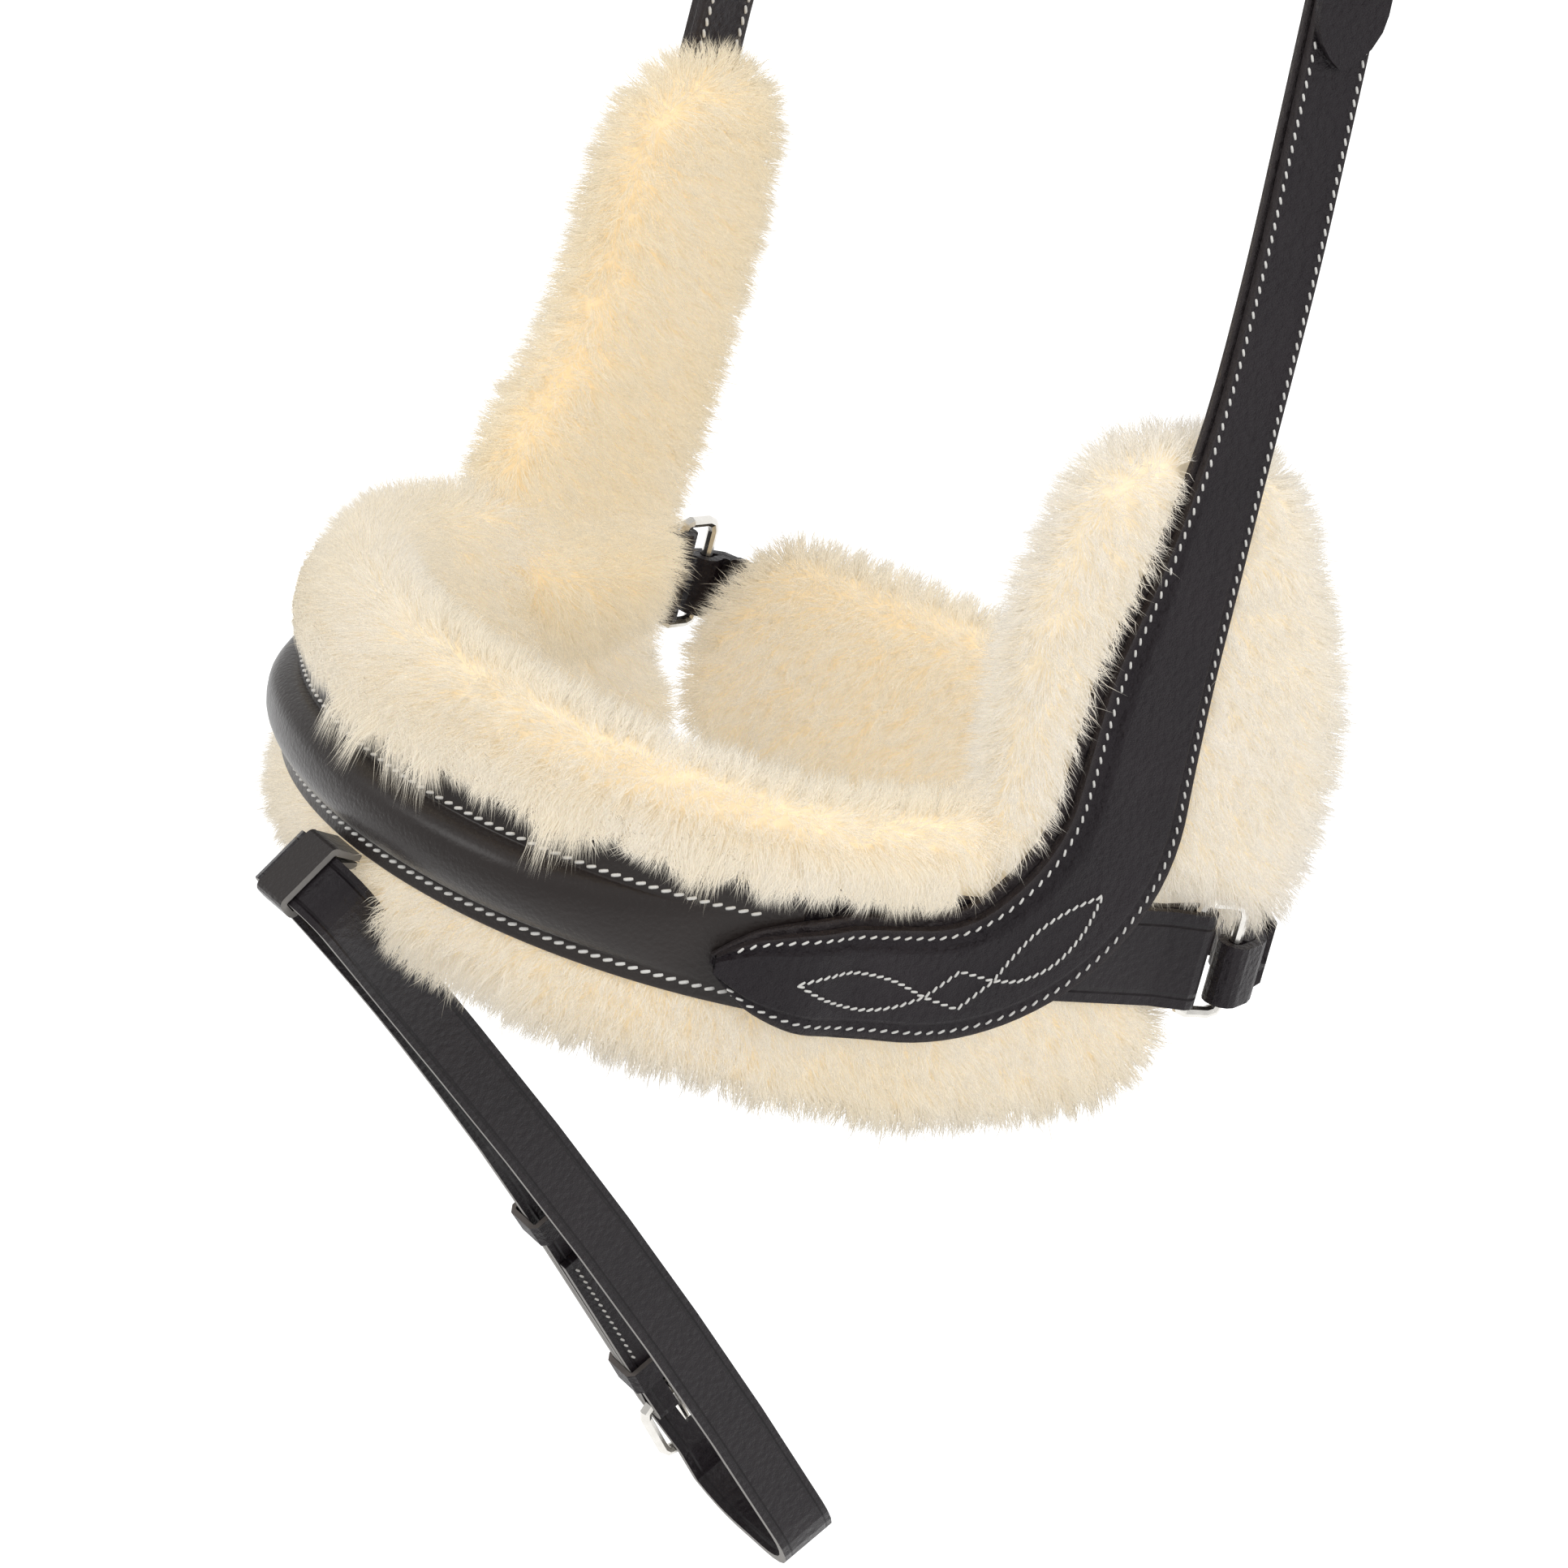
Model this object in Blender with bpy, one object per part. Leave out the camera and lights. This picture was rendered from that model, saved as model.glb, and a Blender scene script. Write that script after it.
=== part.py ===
"""The noseband unit of a horse bridle, hanging as it does on the horse.

A padded leather nosepiece with sheepskin behind it, shaped cheek pieces, a headstrap over the
poll, a flash strap under the nose and a padded chin strap. The near side is +X, the nose
points to -Y, and +Z is up. The origin is the flat underside of the headstrap at the poll.
"""
import math

import bmesh
import bpy
from mathutils import Vector

# All sizes are in metres and all angles in radians.

# The cheek straps lean back by this angle going up.
LEAN = math.radians(16.6)

# The gap that neighbours keep where they touch.
GAP = 0.0003

# The line of the leather round the nose, seen along the cheek straps: a wide arc over the
# nose, a tighter corner and a straight side. Runs are measured along it from the middle.
NOSE_RADIUS = 0.0955
NOSE_TURN = math.radians(57.5)
CORNER_RADIUS = 0.037
SIDE_FLARE = math.radians(10.4)
CHEEK_RUN = 0.1724
RING_RUN = 0.1985

# The line of the headstrap from the nosepiece to the middle of the poll, seen from the front.
STRAIGHT_CLIMB = 0.13
BEND_RADIUS = 0.51
CONVERGE = math.radians(4.5)
HEAD_RUN = 0.198
POLL_RADIUS = 0.055

# Leather.
STRAP_WIDTH = 0.016
STRAP_THICK = 0.0022
BACKING_THICK = 0.002
COVER_THICK = 0.0015
TAB_THICK = 0.0015
BAND_THICK = 0.0013

# The nosepiece, whose height is measured along the cheek straps.
NOSE_HEIGHT = 0.029
NOSE_MIDDLE = -0.0008
COVER_RUN = 0.104
DOME_RUN = 0.087
DOME_EASE = 0.021
DOME_HEIGHT = 0.006
DOME_WIDTH_SHARE = 0.74
PADDING_RUN = 0.082
PADDING_GAP = 0.0004

# The tabs that hold the side rings.
TAB_START = 0.15
TAB_HEIGHT = 0.022
TAB_MIDDLE = 0.0015
TAB_TAIL = 0.037
TAB_EASE = 0.04

# The side rings: rectangular loops of round wire.
RING_WIRE = 0.0027
RING_LENGTH = 0.0102
RING_SIDE_GAP = 0.0004
RING_CORNER = 0.0024

# The cheek pieces: the lobe points to the nose, turns up in one arc and narrows to the strap.
LOBE_TIP_RUN = 0.088
LOBE_MIDDLE = -0.0052
LOBE_RADIUS = 0.042
FLARE_CLIMB = 0.117
LOBE_SINK_RUN = 0.0105
LOBE_SINK_START = 0.1055
RIM_SHARE = 0.13
RAISE = 0.0014
RAISE_WIDTH_SHARE = 0.66
RAISE_FADE_SHARES = (0.72, 1.0)
# Share of the length from the tip to the flare's end, then the front and the rear half
# width as shares of the strap's half width.
CHEEK_OUTLINE_SHARES = (
    (0.000, 0.14, 0.14), (0.020, 0.62, 0.62), (0.050, 1.15, 1.20), (0.110, 1.62, 1.68),
    (0.200, 1.76, 1.80), (0.300, 1.86, 1.90), (0.400, 2.14, 1.95), (0.500, 2.22, 1.84),
    (0.600, 2.14, 1.56), (0.730, 2.06, 1.32), (0.860, 1.46, 1.20), (1.000, 1.05, 1.08),
    (1.150, 1.00, 1.00), (3.000, 1.00, 1.00),
)
# Share of the same length at each row of the cheek piece up to the flare's end.
CHEEK_ROW_SHARES = (
    0.0, 0.02, 0.05, 0.08, 0.115, 0.15, 0.19, 0.225, 0.27, 0.32, 0.37, 0.42, 0.47, 0.52, 0.58, 0.66, 0.74, 0.82,
    0.90, 1.0,
)

# Buckles, all of one size for the straps.
BUCKLE_WIRE = 0.0028
BUCKLE_LENGTH = 0.017
BUCKLE_SIDE_GAP = 0.0008
BUCKLE_CORNER = 0.0024
TONGUE_WIRE = 0.0018
TONGUE_OVERHANG = 0.0015
TONGUE_SLOT_SHARE = 0.21
FOLD_REACH = 0.008
RING_FOLD_REACH = 0.004
FOLD_PINCH = math.radians(25)
TONGUE_TAIL_ANGLE = math.radians(300)
KEEPER_WIDTH = 0.007
KEEPER_BACK = 0.0095
KEEPER_CORNER = 0.0015
BILLET_LEAD = 0.011
BILLET_REST_BACK = 0.0092
BILLET_SLOT_START = math.radians(18.5)
BILLET_SLOT_END_SHARE = 0.72
TIP_LENGTH = 0.012
# Share of the tip's length, then share of the half width there.
TIP_SHARES = ((0.0, 1.0), (0.30, 0.93), (0.60, 0.72), (0.85, 0.40), (1.0, 0.10))

# The headstrap's buckle on the near side: climb of its heel bar, and its chape and billet.
CHEEK_BUCKLE_CLIMB = 0.258
CHEEK_CHAPE = 0.036
CHEEK_BILLET = 0.058
CHEEK_RUNNER_BACK = 0.034
OFF_LAP = 0.028

# The flash strap: where it hangs from the nosepiece, how steeply its tab and its bottom hang,
# and the legs of half its loop, which is pinched below the tab and opens out to the bottom.
FLASH_WIDTH = 0.014
FLASH_AHEAD = 0.0099
FLASH_BELOW = 0.0046
FLASH_SLANT = math.radians(40.3)
FLASH_BOW_RADIUS = 1.7
FLASH_TOP = 0.012
FLASH_SHOULDER_RADIUS = 0.006
FLASH_PINCH = math.radians(10.7)
FLASH_SHOULDER_RUN = 0.0129
FLASH_WAIST_RADIUS = 0.15
FLASH_SPREAD = math.radians(4.6)
FLASH_RUN = 0.1684
FLASH_BOTTOM_RADIUS = 0.0151
FLASH_ROW_LENGTH = 0.036
FLASH_HEEL_RISE = 0.0487
FLASH_CHAPE = 0.059
FLASH_BILLET = 0.082
FLASH_RUNNER_BACK = 0.0705
FLASH_TAB_WIDTH = 0.010
FLASH_TAB_DROP = 0.0008

# The chin strap's line from the near ring's rear bar to the off ring's: a lead, a corner, a
# straight run, and a wide arc under the chin. It rests low in the rings and sags past its buckle.
CHIN_WIDTH = 0.014
CHIN_LEAD = 0.001
CHIN_CORNER_RADIUS = 0.007
CHIN_LINE = 0.058
CHIN_SLANT = math.radians(26)
CHIN_SEAT = 0.003
CHIN_SAG = 0.0075
CHIN_SAG_NEAR_EASE = (0.078, 0.112)
CHIN_SAG_OFF_EASE = (0.005, 0.022)
CHIN_ROW_LENGTH = 0.012
CHIN_BUCKLE_RUN = 0.0385
CHIN_BILLET = 0.036
CHIN_RUNNER_BACK = 0.024
CHIN_TAIL = 0.028
CHIN_TAIL_EASE = 0.014
CHIN_CHAPE_SPLIT = 0.022
CHIN_SPLIT_GAP = 0.001

# The chin pad, whose ends are measured from the off ring's rear bar.
PAD_NEAR_END = 0.122
PAD_OFF_END = 0.0065
PAD_HEIGHT = 0.028
PAD_THICK = 0.0025
PAD_END_SHARES = ((0.0, 0.55), (0.06, 0.86), (0.16, 1.0), (0.84, 1.0), (0.94, 0.86), (1.0, 0.55))
PAD_LOOP_RUNS = (0.052, 0.1)
PAD_LOOP_WIDTH = 0.009
PAD_LOOP_FOOT = 0.005

# Sheepskin: how deep the wool is on the inside, how thick its hide edge is, and how far the
# wool rolls out over the edges of the leather.
WOOL_DEPTH = 0.0175
WOOL_EDGE = 0.004
WOOL_ROLL = 0.004
WOOL_ROLL_START = 0.001
WOOL_ROLL_EASE = 0.009
WOOL_LOBE_EASE = (0.082, 0.09)
CROWN_POWER = 4
NOSE_WOOL_RUN = 0.203
NOSE_WOOL_TOP = 0.037
NOSE_WOOL_BOTTOM = 0.04
NOSE_WOOL_CUT = 0.0182
NOSE_WOOL_SLOPE = 0.011
NOSE_WOOL_SLOPE_EASE = (-0.022, -0.004)
NOSE_WOOL_NOTCH = 0.019
# The runs where the top of the nose's wool comes down beside the cheek's wool, and where its
# bottom comes down past the flash strap.
WOOL_TOP_EASE = (0.119, 0.139)
WOOL_NOTCH_EASE = (0.04, 0.064)
WOOL_END_EASE = (0.18, 0.203)
WOOL_END_LIFT = 0.010
WOOL_TAB_EASE = 0.009
CHEEK_WOOL_TOP = 0.117
# Share of the cheek wool's height, then its front and rear reach from the cheek run as
# shares of the strap's width.
CHEEK_WOOL_SHARES = (
    (0.0, 1.90, 2.55), (0.15, 2.05, 3.05), (0.4, 2.30, 3.15), (0.65, 2.35, 2.60),
    (0.85, 2.00, 1.95), (0.96, 1.55, 1.45), (1.0, 1.10, 1.00),
)
CHEEK_WOOL_ROWS = 12
CHIN_WOOL_NEAR_END = 0.128
CHIN_WOOL_OFF_END = 0.003
CHIN_WOOL_HEIGHT = 0.042

# Where the columns of the padding and its cover lie, from one edge to the other, and those
# of the wool between the leather's edges.
DOME_COLUMN_SHARES = (-1.0, -0.74, -0.66, -0.45, 0.0, 0.45, 0.66, 0.74, 1.0)
WOOL_INNER_SHARES = (0.25, 0.75)
CHIN_WOOL_COLUMN_SHARES = (-1.0, -0.86, -0.5, 0.0, 0.5, 0.86, 1.0)
PADDING_COLUMN_SHARES = (-0.63, -0.45, -0.15, 0.15, 0.45, 0.63)

SMOOTH_ANGLE = math.radians(40)
MITRE_LIMIT = math.sqrt(2)
ARC_STEP = math.radians(27)

# The most that a straight stretch of a piece may leave the arc it follows.
CHORD_SAG = 0.00012
ROW_LENGTH = 0.0095

DARK_LEATHER = (0.035, 0.028, 0.027, 1.0)
GREY_LEATHER = (0.055, 0.048, 0.047, 1.0)
WOOL_CREAM = (0.84, 0.73, 0.55, 1.0)
FOAM = (0.25, 0.24, 0.22, 1.0)
NICKEL = (0.72, 0.70, 0.66, 1.0)
LEATHER_ROUGH = 0.5
WOOL_ROUGH = 0.95
NICKEL_ROUGH = 0.22


# Lines and hosts

def walk(legs, distance):
    """Place and heading after a distance along legs of (length, turn), from the origin."""
    along = 0.0
    aside = 0.0
    heading = 0.0
    for length, turn in legs:
        step = min(distance, length)
        if turn:
            angle = turn * step / length
            radius = length / turn
            along += radius * (math.sin(heading + angle) - math.sin(heading))
            aside += radius * (math.cos(heading) - math.cos(heading + angle))
            heading += angle
        else:
            along += step * math.cos(heading)
            aside += step * math.sin(heading)
        distance -= step
        if distance <= 0:
            return along, aside, heading
    along += distance * math.cos(heading)
    aside += distance * math.sin(heading)
    return along, aside, heading


def legs_length(legs):
    return sum(length for length, turn in legs)


def arc_leg(radius, turn):
    return (radius * abs(turn), turn)


def ease(value, start, end):
    """A smooth rise from 0 at start to 1 at end."""
    share = min(max((value - start) / (end - start), 0.0), 1.0)
    return share * share * (3 - 2 * share)


def blend(low, high, share):
    return low + (high - low) * share


def table_value(table, key, column):
    """A smooth curve through one column of a table whose first column rises."""
    for before, after in zip(table, table[1:]):
        if key <= after[0]:
            return blend(before[column], after[column], (key - before[0]) / (after[0] - before[0]))
    return table[-1][column]


def spaced(start, end, count):
    return [blend(start, end, index / count) for index in range(count + 1)]


def arc_steps(length, turn):
    """How many chords an arc needs."""
    if not turn:
        return 1
    return math.ceil(abs(turn) / (2 * math.acos(1 - CHORD_SAG * abs(turn) / length)))


def stations(legs, start, end, longest=math.inf):
    """Distances from start to end where a piece along legs needs a row of points."""
    places = [start]
    done = 0.0
    for length, turn in [*legs, (math.inf, 0.0)]:
        low = max(done, start)
        high = min(done + length, end)
        if high - low > GAP:
            if turn:
                steps = arc_steps(length, turn)
                rows = [along for along in spaced(done, done + length, steps) if low + GAP < along < high - GAP]
                places += rows
            elif high - low > longest:
                places += spaced(low, high, math.ceil((high - low) / longest))[1:-1]
            if high < end - GAP:
                places.append(high)
        done += length
    return places + [end]


def mirrored(places):
    """Places from the middle outwards, joined to their mirror image."""
    return [-place for place in reversed(places[1:])] + places


SIDE_FACING = math.pi / 2 - SIDE_FLARE
PLAN_LEGS = [arc_leg(NOSE_RADIUS, NOSE_TURN), arc_leg(CORNER_RADIUS, SIDE_FACING - NOSE_TURN)]
HEAD_LEGS = [
    (STRAIGHT_CLIMB, 0.0),
    arc_leg(BEND_RADIUS, CONVERGE),
    (HEAD_RUN, 0.0),
    arc_leg(POLL_RADIUS, math.pi / 2 - CONVERGE),
]
CHEEK_ACROSS = walk(PLAN_LEGS, CHEEK_RUN)[0]
CHEEK_FORWARD = -walk(PLAN_LEGS, CHEEK_RUN)[1]
POLL_HEIGHT, POLL_INWARD, POLL_TILT = walk(HEAD_LEGS, legs_length(HEAD_LEGS))
POLL_FLAT = CHEEK_ACROSS - POLL_INWARD
HALF_HEAD = legs_length(HEAD_LEGS) + POLL_FLAT

# Layers of the cheek, from the horse outwards.
CHEEK_LAYER = BACKING_THICK + GAP
CHEEK_MIDDLE = CHEEK_LAYER + STRAP_THICK + GAP / 2
SLIP_LAYER = CHEEK_MIDDLE + GAP / 2 + STRAP_THICK / 2


def lean_back(across, forward, height):
    """The leaning frame of the straps, turned into the upright one."""
    return Vector((
        across,
        height * math.sin(LEAN) - forward * math.cos(LEAN),
        height * math.cos(LEAN) + forward * math.sin(LEAN),
    ))


# The poll's resting face lies on the headstrap's inner side, in the middle.
SLIP_UNDER = SLIP_LAYER - STRAP_THICK / 2
POLL_POINT = lean_back(
    0.0,
    CHEEK_FORWARD + SLIP_UNDER * math.cos(SIDE_FACING),
    POLL_HEIGHT + SLIP_UNDER * math.sin(SIDE_FACING),
)


def place(across, forward, height):
    return lean_back(across, forward, height) - POLL_POINT


def skin(run, climb, out):
    """A point on the leather's line: run round the nose, climb up the straps, out from them."""
    side = math.copysign(1, run)
    across, back, facing = walk(PLAN_LEGS, abs(run))
    height, inward, tilt = walk(HEAD_LEGS, climb) if climb > 0 else (climb, 0.0, 0.0)
    reach = across + out * math.sin(facing) - CHEEK_ACROSS
    return place(
        side * (CHEEK_ACROSS - inward + reach * math.cos(tilt)),
        out * math.cos(facing) - back,
        height + reach * math.sin(tilt),
    )


def head(along, across, out):
    """The headstrap's line, along from the middle of the poll, positive to the near side."""
    side = math.copysign(1, along)
    return skin(side * (CHEEK_RUN + across), HALF_HEAD - abs(along), out)


# Building blocks

def finish(name, data, colour, roughness, metallic=0.0):
    """Put a mesh or curve in the scene as one named piece with its own material."""
    piece = bpy.data.objects.new(name, data)
    PIECES.objects.link(piece)
    material = bpy.data.materials.new(name + "_finish")
    material.use_nodes = True
    shader = material.node_tree.nodes["Principled BSDF"]
    shader.inputs["Base Color"].default_value = colour
    shader.inputs["Roughness"].default_value = roughness
    shader.inputs["Metallic"].default_value = metallic
    material.diffuse_color = colour
    data.materials.append(material)
    return piece


def close_body(name, body, colour, roughness):
    """Turn a closed bmesh's faces outwards and put it in the scene."""
    bmesh.ops.recalc_face_normals(body, faces=body.faces[:])
    if body.calc_volume(signed=True) < 0:
        bmesh.ops.reverse_faces(body, faces=body.faces[:])
    mesh = bpy.data.meshes.new(name)
    body.to_mesh(mesh)
    body.free()
    mesh.shade_smooth()
    mesh.set_sharp_from_angle(angle=SMOOTH_ANGLE)
    return finish(name, mesh, colour, roughness)


def slab(name, rows, columns, corner, colour, roughness, skip=()):
    """A sheet of rows by columns cells with thickness; corner(row, column, face) places it."""
    sheet = bmesh.new()
    bmesh.ops.create_grid(sheet, x_segments=rows, y_segments=columns, size=1)
    spot = sheet.verts.layers.int.new("spot")
    for vertex in sheet.verts:
        row = round((vertex.co.x + 1) * rows / 2)
        column = round((vertex.co.y + 1) * columns / 2)
        vertex[spot] = row * (columns + 1) + column
    cut = [face for face in sheet.faces if divmod(min(v[spot] for v in face.verts), columns + 1) in skip]
    if cut:
        bmesh.ops.delete(sheet, geom=cut, context="FACES")
    grown = bmesh.ops.extrude_face_region(sheet, geom=sheet.faces[:])
    outer = {item for item in grown["geom"] if isinstance(item, bmesh.types.BMVert)}
    for vertex in sheet.verts:
        row, column = divmod(vertex[spot], columns + 1)
        vertex.co = corner(row, column, 1 if vertex in outer else 0)
    return close_body(name, sheet, colour, roughness)


def course_normals(course):
    """The outward direction at each point of a course of (along, out), longer where it bends."""
    sides = []
    for start, end in zip(course, course[1:]):
        sides.append(Vector((start[1] - end[1], end[0] - start[0])) / math.dist(start, end))
    normals = []
    for before, after in zip([sides[0], *sides], [*sides, sides[-1]]):
        total = before + after
        normals.append(total * min(2 / total.length_squared, MITRE_LIMIT / total.length))
    return normals


def strip(name, course, host, width, thick, colour=DARK_LEATHER, slots=(), tip=False):
    """A flat strip along a course of (along, out) points, with slots and perhaps a pointed tip."""
    course = list(course)
    shares = [1.0] * len(course)
    if tip:
        last, before = course[-1], course[-2]
        length = math.hypot(last[0] - before[0], last[1] - before[1])
        course.pop()
        shares.pop()
        for key, share in TIP_SHARES:
            reach = (length - TIP_LENGTH * (1 - key)) / length
            course.append((blend(before[0], last[0], reach), blend(before[1], last[1], reach)))
            shares.append(share)
    normals = course_normals(course)
    edges = (-1.0, -TONGUE_SLOT_SHARE, TONGUE_SLOT_SHARE, 1.0) if slots else (-1.0, 1.0)
    middle_column = len(edges) // 2 - 1
    skip = {(row, middle_column) for start, end in slots for row in range(start, end)}

    def corner(row, column, face):
        along, out = course[row]
        normal = normals[row]
        offset = thick * face - thick / 2
        return host(along + normal[0] * offset, width / 2 * shares[row] * edges[column], out + normal[1] * offset)

    return slab(name, len(course) - 1, len(edges) - 1, corner, colour, LEATHER_ROUGH, skip)


def wire(name, points, thickness, cyclic):
    """A round wire of nickel-plated steel through points."""
    curve = bpy.data.curves.new(name, "CURVE")
    curve.dimensions = "3D"
    curve.bevel_depth = thickness / 2
    curve.bevel_resolution = 2
    curve.use_fill_caps = not cyclic
    spline = curve.splines.new("POLY")
    spline.points.add(len(points) - 1)
    for point, target in zip(spline.points, points):
        point.co = (*target, 1.0)
    spline.use_cyclic_u = cyclic
    return finish(name, curve, NICKEL, NICKEL_ROUGH, 1.0)


def rounded_loop(low_a, high_a, low_b, high_b, radius, steps):
    """Points of a rectangle with round corners."""
    points = []
    corners = ((high_a, high_b, 0), (low_a, high_b, 1), (low_a, low_b, 2), (high_a, low_b, 3))
    for a, b, quarter in corners:
        centre_a = a - math.copysign(radius, a - (low_a + high_a) / 2)
        centre_b = b - math.copysign(radius, b - (low_b + high_b) / 2)
        for step in range(steps + 1):
            angle = math.pi / 2 * (quarter + step / steps)
            points.append((centre_a + radius * math.cos(angle), centre_b + radius * math.sin(angle)))
    return points


def fold_radius(wire_size, thick):
    return wire_size / 2 + GAP + thick / 2


def fold(wire_size, thick, reach):
    """A strip's course round a bar at the origin: out along the top ply, back along the lower."""
    radius = fold_radius(wire_size, thick)
    ply = (thick + GAP) / 2
    points = [(-reach, ply)]
    start = math.pi / 2 + FOLD_PINCH
    steps = math.ceil(2 * start / ARC_STEP)
    for angle in spaced(start, -start, steps):
        points.append((radius * math.cos(angle), radius * math.sin(angle)))
    points.append((-reach, -ply))
    return points


CHAPE_PLY = (STRAP_THICK + GAP) / 2
BILLET_OUT = CHAPE_PLY + STRAP_THICK + GAP
UNDER_BAR = fold_radius(BUCKLE_WIRE, STRAP_THICK)
OVER_HEEL = UNDER_BAR + STRAP_THICK + GAP


def billet(rest, length):
    """A billet's course from the incoming side, under the front bar, over the heel, to its tip.

    Also gives the rows between which the tongue's slot is cut.
    """
    slope = math.asin((UNDER_BAR + OVER_HEEL) / BUCKLE_LENGTH)
    points = [(BUCKLE_LENGTH + BILLET_LEAD, rest)]
    for angle in spaced(-FOLD_PINCH / 2, slope, 3):
        points.append((BUCKLE_LENGTH - UNDER_BAR * math.sin(angle), -UNDER_BAR * math.cos(angle)))
    under = points[-1]
    over = (OVER_HEEL * math.sin(slope), OVER_HEEL * math.cos(slope))
    points.append(tuple(blend(o, u, BILLET_SLOT_END_SHARE) for o, u in zip(over, under)))
    slot_start = len(points) - 1
    points.append(over)
    points.append((OVER_HEEL * math.sin(BILLET_SLOT_START), OVER_HEEL * math.cos(BILLET_SLOT_START)))
    slot_end = len(points) - 1
    points.append((0.0, OVER_HEEL))
    points.append((-OVER_HEEL * math.sin(FOLD_PINCH), OVER_HEEL * math.cos(FOLD_PINCH)))
    points.append((-BILLET_REST_BACK, BILLET_OUT))
    points.append((-length, BILLET_OUT))
    return points, (slot_start, slot_end)


def keeper(name, host, back, width, low_out, high_out):
    """A closed leather loop round the plies of a strap, with its origin in its middle."""
    middle = host(-back - KEEPER_WIDTH / 2, 0.0, (low_out + high_out) / 2)
    half = width / 2 + GAP
    inner = rounded_loop(-half, half, low_out, high_out, GAP, 1)
    outer = rounded_loop(
        -half - BAND_THICK, half + BAND_THICK, low_out - BAND_THICK, high_out + BAND_THICK, KEEPER_CORNER, 1)
    mesh = bmesh.new()
    bmesh.ops.create_circle(mesh, segments=len(inner), radius=1)
    ring = mesh.edges[:]
    bmesh.ops.extrude_edge_only(mesh, edges=ring)
    mesh.verts.ensure_lookup_table()
    for index, vertex in enumerate(mesh.verts):
        loop = inner if index < len(inner) else outer
        across, out = loop[index % len(inner)]
        vertex.co = host(-back, across, out) - middle
    near_face = mesh.faces[:]
    grown = bmesh.ops.extrude_face_region(mesh, geom=near_face)
    far = [item for item in grown["geom"] if isinstance(item, bmesh.types.BMVert)]
    shift = host(-back - KEEPER_WIDTH, 0.0, 0.0) - host(-back, 0.0, 0.0)
    for vertex in far:
        vertex.co += shift
    piece = close_body(name, mesh, DARK_LEATHER, LEATHER_ROUGH)
    piece.location = middle
    return piece


def buckle(prefix, host, width, runner_back):
    """A buckle's frame and tongue, its fixed keeper and its sliding runner."""
    half = width / 2 + BUCKLE_SIDE_GAP + BUCKLE_WIRE / 2
    frame = rounded_loop(0.0, BUCKLE_LENGTH, -half, half, BUCKLE_CORNER, 2)
    wire(prefix + "_buckle", [host(along, across, 0.0) for along, across in frame], BUCKLE_WIRE, True)
    radius = fold_radius(BUCKLE_WIRE, TONGUE_WIRE)
    steps = math.ceil((TONGUE_TAIL_ANGLE - math.pi / 2) / ARC_STEP)
    hook = [(radius * math.cos(angle), radius * math.sin(angle))
            for angle in spaced(TONGUE_TAIL_ANGLE, math.pi / 2, steps)]
    hook.append((BUCKLE_LENGTH + TONGUE_OVERHANG, radius))
    tongue = wire(prefix + "_tongue", [host(along, 0.0, out) - host(0.0, 0.0, 0.0) for along, out in hook],
                  TONGUE_WIRE, False)
    tongue.location = host(0.0, 0.0, 0.0)
    low = -CHAPE_PLY - STRAP_THICK / 2 - GAP
    high = BILLET_OUT + STRAP_THICK / 2 + GAP
    keeper(prefix + "_keeper", host, KEEPER_BACK, width, low, high)
    keeper(prefix + "_runner", host, runner_back, width, low, high)


# The nosepiece

def nose_middle(run):
    return blend(NOSE_MIDDLE, TAB_MIDDLE, ease(abs(run), TAB_START - TAB_EASE, TAB_START))


def nose_half(run):
    return blend(NOSE_HEIGHT, TAB_HEIGHT, ease(abs(run), TAB_START - TAB_EASE, TAB_START)) / 2


def dome(run, share):
    """How far the padding swells, from 0 at the stitched flange to 1 on the crest."""
    across = abs(share) / DOME_WIDTH_SHARE
    swell = math.sqrt(max(1 - across ** 3, 0.0))
    return swell * (1 - ease(abs(run), DOME_RUN - DOME_EASE, DOME_RUN))


def nosepiece():
    backing_rows = mirrored(stations(PLAN_LEGS, 0.0, TAB_START - GAP, ROW_LENGTH))

    def backing(row, column, face):
        run = backing_rows[row]
        height = nose_middle(run) + nose_half(run) * (2 * column - 1)
        return skin(run, height, BACKING_THICK * face)

    slab("nose_backing", len(backing_rows) - 1, 1, backing, DARK_LEATHER, LEATHER_ROUGH)

    cover_rows = mirrored(stations(PLAN_LEGS, 0.0, COVER_RUN, ROW_LENGTH))
    under_cover = BACKING_THICK + GAP

    def cover(row, column, face):
        run = cover_rows[row]
        share = DOME_COLUMN_SHARES[column]
        out = under_cover + COVER_THICK * face + DOME_HEIGHT * dome(run, share)
        return skin(run, nose_middle(run) + nose_half(run) * share, out)

    slab("nose_cover", len(cover_rows) - 1, len(DOME_COLUMN_SHARES) - 1, cover, GREY_LEATHER, LEATHER_ROUGH)

    padding_rows = mirrored(stations(PLAN_LEGS, 0.0, PADDING_RUN, ROW_LENGTH))

    def padding(row, column, face):
        run = padding_rows[row]
        share = PADDING_COLUMN_SHARES[column]
        swell = DOME_HEIGHT * dome(run, share) - PADDING_GAP
        return skin(run, nose_middle(run) + nose_half(run) * share, under_cover + swell * face)

    slab("nose_padding", len(padding_rows) - 1, len(PADDING_COLUMN_SHARES) - 1, padding, FOAM, WOOL_ROUGH)


# The cheek pieces

LOBE_LEGS = [(CHEEK_RUN - LOBE_RADIUS - LOBE_TIP_RUN, 0.0), arc_leg(LOBE_RADIUS, math.pi / 2)]
FLARE_LENGTH = legs_length(LOBE_LEGS) + FLARE_CLIMB - LOBE_MIDDLE - LOBE_RADIUS
CHEEK_TOP = CHEEK_BUCKLE_CLIMB - CHEEK_CHAPE - GAP
OFF_BACKING_TOP = CHEEK_TOP + OFF_LAP


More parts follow.
